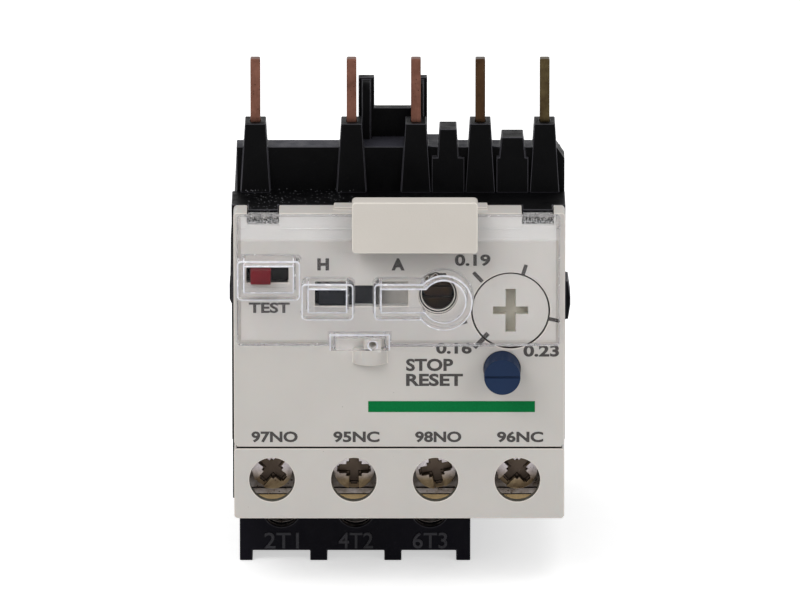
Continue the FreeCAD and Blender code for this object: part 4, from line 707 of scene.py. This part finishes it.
# Nodes that a copy replaces: the width of its rounded edges, its materials and its body.
COPIES = {
    "base_housing": (0.12, BLACK, "base"),
    "prong_carrier": (0.1, BLACK, "base"),
    "rear_cover": (0.12, BLACK, "base"),
    "load_terminal_block": (0.12, (BLOCK_BLACK, EDGE_HIGHLIGHT_BLACK), "base"),
    "contactor_hook": (0.1, BLACK, "base"),
    "front_cover": (0.12, PALE, "base"),
    "lower_terminal_cover": (0.12, PALE, "base"),
    "clear_cover": (0.2, (FINISHES["clear_plastic"], CLEAR_EDGE), "hinged_cover"),
    "marker_holder": (0.14, (FINISHES["marker_plastic"], MARKER_EDGE), "hinged_cover"),
    "reset_button": (0.07, (FINISHES["blue_plastic"], None), "reset"),
}
# The front cover's lower edge comes down, which narrows the joint to the cover below it.
LOWERED = {"front_cover": (low("front_cover").z + 0.01, 0.22)}
OWN_FINISH = {"slide_guide": SHADED_CREAM, "calibration_screw": SHADED_STEEL}

for name, node in NODES.items():
    slot = node.data.materials[0].name
    if name in COPIES:
        width, materials, body = COPIES[name]
        softened_copy(name, width, materials, body)
        continue
    node.data.materials[0] = OWN_FINISH.get(name, FINISHES[slot])
    if name not in UNSEEN and slot in EDGE:
        soften(node, EDGE[slot])

# ---- printed and raised legends

INK = 0.02
BOLD = 0.034
LETTER_BOLD = 0.055
FACE_FRONT = Matrix.Rotation(math.radians(90), 4, "X")
LETTER_CURVE_STEPS = 4


def words_mesh(words, height, width, thick, bold):
    """Words as a mesh that faces the front, with its middle at the origin, stretched to a size."""
    curve = bpy.data.curves.new(words, "FONT")
    curve.body = words
    curve.extrude = 0.5
    curve.offset = bold
    curve.resolution_u = LETTER_CURVE_STEPS
    holder = bpy.data.objects.new(words, curve)
    bpy.context.scene.collection.objects.link(holder)
    depsgraph = bpy.context.evaluated_depsgraph_get()
    mesh = bpy.data.meshes.new_from_object(holder.evaluated_get(depsgraph))
    bpy.data.objects.remove(holder)
    points = [v.co for v in mesh.vertices]
    least = Vector([min(p[i] for p in points) for i in range(3)])
    most = Vector([max(p[i] for p in points) for i in range(3)])
    size = most - least
    mesh.transform(Matrix.Translation(-(least + most) / 2))
    mesh.transform(Matrix.Diagonal((width / size.x * MM, height / size.y * MM, thick * MM / size.z, 1.0)))
    mesh.transform(FACE_FRONT)
    return mesh


def legend(name, words, x, z, height, width, bold=BOLD):
    """Words printed on the front panel."""
    mesh = words_mesh(words, height, width, INK, bold)
    mesh.transform(Matrix.Translation(Vector((x, PANEL_Y - INK / 2, z)) * MM))
    place(name, mesh, GREY_INK, "base")


def slab(least, most, ease=0.0):
    """A box between two corners, with rounded edges where a radius is given."""
    shape = bmesh.new()
    size = Vector(most) - Vector(least)
    centre = (Vector(most) + Vector(least)) / 2
    at = Matrix.Translation(centre * MM) @ Matrix.Diagonal((size * MM).to_4d())
    bmesh.ops.create_cube(shape, size=1.0, matrix=at)
    if ease:
        bmesh.ops.bevel(shape, geom=shape.edges[:], offset=ease * MM, segments=BEVEL_SEGMENTS,
                        affect="EDGES", profile=0.5)
    mesh = bpy.data.meshes.new("slab")
    shape.to_mesh(mesh)
    shape.free()
    return mesh


# The setting scale's ticks: angle in degrees, inner and outer radius, width.
TICKS = ((226.6, 5.12, 6.95, 0.62), (194.6, 5.9, 6.6, 0.4), (133.0, 5.46, 7.17, 0.5),
         (72.0, 5.18, 6.6, 0.5), (-12.0, 5.12, 6.5, 0.5))
POINTER_FROM = 4.3
# The scale's numbers: piece name, number, place across and up from the dial's axis.
SCALE_NUMBERS = (("scale_low", "0.16", -7.45, -5.1), ("scale_middle", "0.19", -5.0, 6.9),
                 ("scale_high", "0.23", 4.05, -5.5))
SCALE_HEIGHT = 1.6
SCALE_WIDTH = 4.7


def dial_mark(name, angle, inner, outer, width, front, body):
    """A tick that points to the dial's axis."""
    mark = slab((inner, front - INK, -width / 2), (outer, front, width / 2))
    mark.transform(Matrix.Rotation(math.radians(-angle), 4, "Y"))
    mark.transform(Matrix.Translation(Vector((DIAL.x, 0, DIAL.z)) * MM))
    place(name, mark, GREY_INK, body)


for number, tick in enumerate(TICKS, 1):
    dial_mark(f"scale_tick_{number}", *tick, PANEL_Y, "base")
pointer_angle, pointer_width = TICKS[0][0], TICKS[0][3]
dial_mark("dial_pointer", pointer_angle, POINTER_FROM, DIAL_GAP_R[0], pointer_width,
          low("setting_dial").y, "dial")
for name, number, across, up in SCALE_NUMBERS:
    legend(name, number, DIAL.x + across, DIAL.z + up, SCALE_HEIGHT, SCALE_WIDTH)

# The legends beside the controls: piece name, words, place across and up, height, width, boldness.
CONTROL_LEGENDS = (
    ("legend_hand", "H", -10.1, 45.2, 1.65, 1.55, LETTER_BOLD),
    ("legend_auto", "A", -0.25, 45.2, 1.65, 1.75, LETTER_BOLD),
    ("legend_test", "TEST", -17.2, 39.3, 1.45, 5.4, BOLD),
    ("legend_stop", "STOP", 3.9, 31.45, 1.7, 6.2, BOLD),
    ("legend_reset", "RESET", 4.55, 29.4, 1.7, 7.5, BOLD),
)
TERMINALS = ((97, "NO"), (95, "NC"), (98, "NO"), (96, "NC"))
TERMINAL_MARK_SHIFT = 0.35
TERMINAL_MARK_Z = 21.6
TERMINAL_MARK_HEIGHT = 1.5
TERMINAL_MARK_WIDTH = 6.1
STRIPE_X = (-4.2, 17.8)
STRIPE_Z = (25.0, 26.5)

for control_legend in CONTROL_LEGENDS:
    legend(*control_legend)
for x, (number, kind) in zip(TERMINAL_X, TERMINALS):
    legend(f"terminal_mark_{number}", f"{number}{kind}", x + TERMINAL_MARK_SHIFT, TERMINAL_MARK_Z,
           TERMINAL_MARK_HEIGHT, TERMINAL_MARK_WIDTH)
stripe = slab((STRIPE_X[0], PANEL_Y - INK, STRIPE_Z[0]), (STRIPE_X[1], PANEL_Y, STRIPE_Z[1]))
place("green_stripe", stripe, GREEN_INK, "base")

# Raised numbers on the front of the load terminal block, painted paler all over as a painted highlight of
# their edges.
PHASES = ("2T1", "4T2", "6T3")
PHASE_MARK_Z = 2.8
PHASE_MARK_HEIGHT = 2.2
PHASE_MARK_WIDTH = 4.6
PHASE_MARK_THICK = 0.3
PHASE_MARK_BOLD = 0.01

for x, words in zip(PHASE_X, PHASES):
    raised = words_mesh(words, PHASE_MARK_HEIGHT, PHASE_MARK_WIDTH, PHASE_MARK_THICK, PHASE_MARK_BOLD)
    raised.transform(Matrix.Translation(Vector((x, BLOCK_FRONT, PHASE_MARK_Z)) * MM))
    place(f"load_mark_{words}", raised, EDGE_HIGHLIGHT_BLACK, "base")

# ---- inside the control terminals

# The angle in degrees at which each screw was last tightened.
HEAD_TURNS = (40.0, 0.0, -12.0, 45.0)
# The drive in a screw's head, as boxes of a width, a height and a depth:
# the two arms of a cross, the flare between them and one long slot.
DRIVE = ((3.9, 1.2, 1.3), (1.2, 3.9, 1.3), (2.0, 2.0, 1.1), (1.35, 7.0, 0.55))
BEFORE_HEAD = -1.0
HEAD_EASE = 0.07


def cut_screw(node_name, body, turn):
    """Replaces a screw by its own mesh, turned on its axis, with a deeper drive cut in its head."""
    centre = middle(node_name)
    front = low(node_name).y
    axis = Matrix.Translation(Vector((centre.x, front, centre.z)) * MM)
    spin = axis @ Matrix.Rotation(math.radians(turn), 4, "Y")
    mesh = NODES[node_name].data.copy()
    mesh.transform(spin @ axis.inverted())
    piece = place(node_name + "_head", mesh, SCREW_STEEL, body)
    cutters = []
    for wide, tall, deep in DRIVE:
        cutter_mesh = slab((-wide / 2, BEFORE_HEAD, -tall / 2), (wide / 2, deep, tall / 2))
        cutter_mesh.transform(spin)
        cutter = bpy.data.objects.new("cutter", cutter_mesh)
        bpy.context.scene.collection.objects.link(cutter)
        cut = piece.modifiers.new("cut", "BOOLEAN")
        cut.object = cutter
        cut.solver = "EXACT"
        cutters.append(cutter)
    result = bpy.data.meshes.new_from_object(piece.evaluated_get(bpy.context.evaluated_depsgraph_get()))
    piece.modifiers.clear()
    piece.data = eased(result, node_name + "_head", HEAD_EASE)
    piece.data.materials.append(SCREW_STEEL)
    for cutter in cutters:
        bpy.data.objects.remove(cutter)
    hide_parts(node_name)
    bevelled(piece, HEAD_EASE, "WEIGHT")


for i, turn in enumerate(HEAD_TURNS, 1):
    cut_screw(f"control_screw_{i}", f"control_screw_{i}_body", turn)

# Strips at the foot of each terminal: half width, depth behind the panel and height.
WIRE_PLATE = (3.1, (7.05, 7.15), (10.6, 11.75))
CLAMP_LIP = (2.6, (7.2, 7.4), (11.8, 12.55))
STRIP_EASE = 0.04


def strip(name, x, sizes, material):
    """A thin upright strip across a terminal."""
    half, depth, rise = sizes
    mesh = slab((x - half, PANEL_Y + depth[0], rise[0]), (x + half, PANEL_Y + depth[1], rise[1]), STRIP_EASE)
    place(name, mesh, material, "base")


for i, x in enumerate(TERMINAL_X, 1):
    strip(f"wire_plate_{i}", x, WIRE_PLATE, BRONZE)
    strip(f"clamp_lip_{i}", x, CLAMP_LIP, FINISHES["plated_steel"])

# ---- floor, light and camera, in metres

FLOOR_HALF = 4.0
FLOOR_GLOW = 0.55
FLOOR_GREYS = ((0.8, 0.8, 0.8, 1.0), (0.84, 0.84, 0.84, 1.0))
WHITE = (1.0, 1.0, 1.0, 1.0)
SURROUND_LIGHT = 0.55
SURROUND_SEEN = 1.0
LAMP_AIM = Vector((0.0, 0.0, 0.035))
LAMP_SIZE = 0.9
# Each lamp's name, place and power in watts.
LAMPS = (("key", (-0.75, -1.0, 1.15), 9.0), ("fill", (0.95, -1.05, 0.65), 5.0), ("top", (0.1, 0.5, 1.5), 4.0))
PITCH = math.radians(15)
DISTANCE = 1.7
AIM_HEIGHT = 40.3 * MM
LENS_MM = 581.4
SENSOR_MM = 36.0


def background_rays(tree):
    """1 for rays that see the background straight, in metal or through glass, else 0."""
    def math_node(operation, one, other):
        made = tree.nodes.new("ShaderNodeMath")
        made.operation = operation
        for socket, value in zip(made.inputs, (one, other)):
            if isinstance(value, float):
                socket.default_value = value
            else:
                tree.links.new(value, socket)
        return made.outputs["Value"]

    rays = tree.nodes.new("ShaderNodeLightPath").outputs
    seen = math_node("MAXIMUM", rays["Is Camera Ray"], rays["Is Glossy Ray"])
    seen = math_node("MAXIMUM", seen, rays["Is Transmission Ray"])
    unscattered = math_node("LESS_THAN", rays["Diffuse Depth"], 0.5)
    return math_node("MULTIPLY", seen, unscattered)


def floor_material():
    """A pale floor whose own light only the background's rays see, so that it looks white."""
    finish = Finish("floor", Specular_IOR_Level=0.0)
    grain = finish.noise(4.0, 3.0)
    finish.colour(finish.ramp(grain, *FLOOR_GREYS))
    finish.rough(grain, 0.8, 0.95)
    glow = finish.either(background_rays(finish.tree), 0.0, FLOOR_GLOW)
    finish.shader.inputs["Emission Color"].default_value = WHITE
    finish.join(glow, finish.shader, "Emission Strength")
    return finish.material


def floor():
    """A square floor at the foot of the part."""
    corners = [(-1, -1), (1, -1), (1, 1), (-1, 1)]
    mesh = bpy.data.meshes.new("floor")
    mesh.from_pydata([(x * FLOOR_HALF, y * FLOOR_HALF, 0) for x, y in corners], [], [(0, 1, 2, 3)])
    mesh.materials.append(floor_material())
    piece = bpy.data.objects.new("floor", mesh)
    bpy.context.scene.collection.objects.link(piece)


def surround():
    """A white surround with one strength as light and another where it is seen."""
    made = bpy.data.worlds.new("surround")
    bpy.context.scene.world = made
    made.use_nodes = True
    tree = made.node_tree
    background = tree.nodes["Background"]
    background.inputs["Color"].default_value = WHITE
    strength = tree.nodes.new("ShaderNodeMapRange")
    strength.inputs["To Min"].default_value = SURROUND_LIGHT
    strength.inputs["To Max"].default_value = SURROUND_SEEN
    tree.links.new(background_rays(tree), strength.inputs["Value"])
    tree.links.new(strength.outputs["Result"], background.inputs["Strength"])


def lamp(name, at, watts):
    """A square soft lamp that faces the object."""
    data = bpy.data.lights.new(name, "AREA")
    data.shape = "SQUARE"
    data.size = LAMP_SIZE
    data.energy = watts
    holder = bpy.data.objects.new(name, data)
    bpy.context.scene.collection.objects.link(holder)
    holder.location = at
    holder.rotation_euler = (LAMP_AIM - Vector(at)).to_track_quat("-Z", "Y").to_euler()


def camera():
    """A camera in front of the part, a little above it, that looks down on the front panel."""
    data = bpy.data.cameras.new("camera")
    data.lens = LENS_MM
    data.sensor_width = SENSOR_MM
    data.clip_start = 0.01
    holder = bpy.data.objects.new("camera", data)
    bpy.context.scene.collection.objects.link(holder)
    back = DISTANCE * math.cos(PITCH)
    up = DISTANCE * math.sin(PITCH)
    holder.location = (0.0, PANEL_Y * MM - back, AIM_HEIGHT + up)
    holder.rotation_euler = (math.pi / 2 - PITCH, 0.0, 0.0)
    bpy.context.scene.camera = holder


floor()
surround()
for lamp_values in LAMPS:
    lamp(*lamp_values)
camera()
bpy.context.scene.view_settings.view_transform = "Standard"
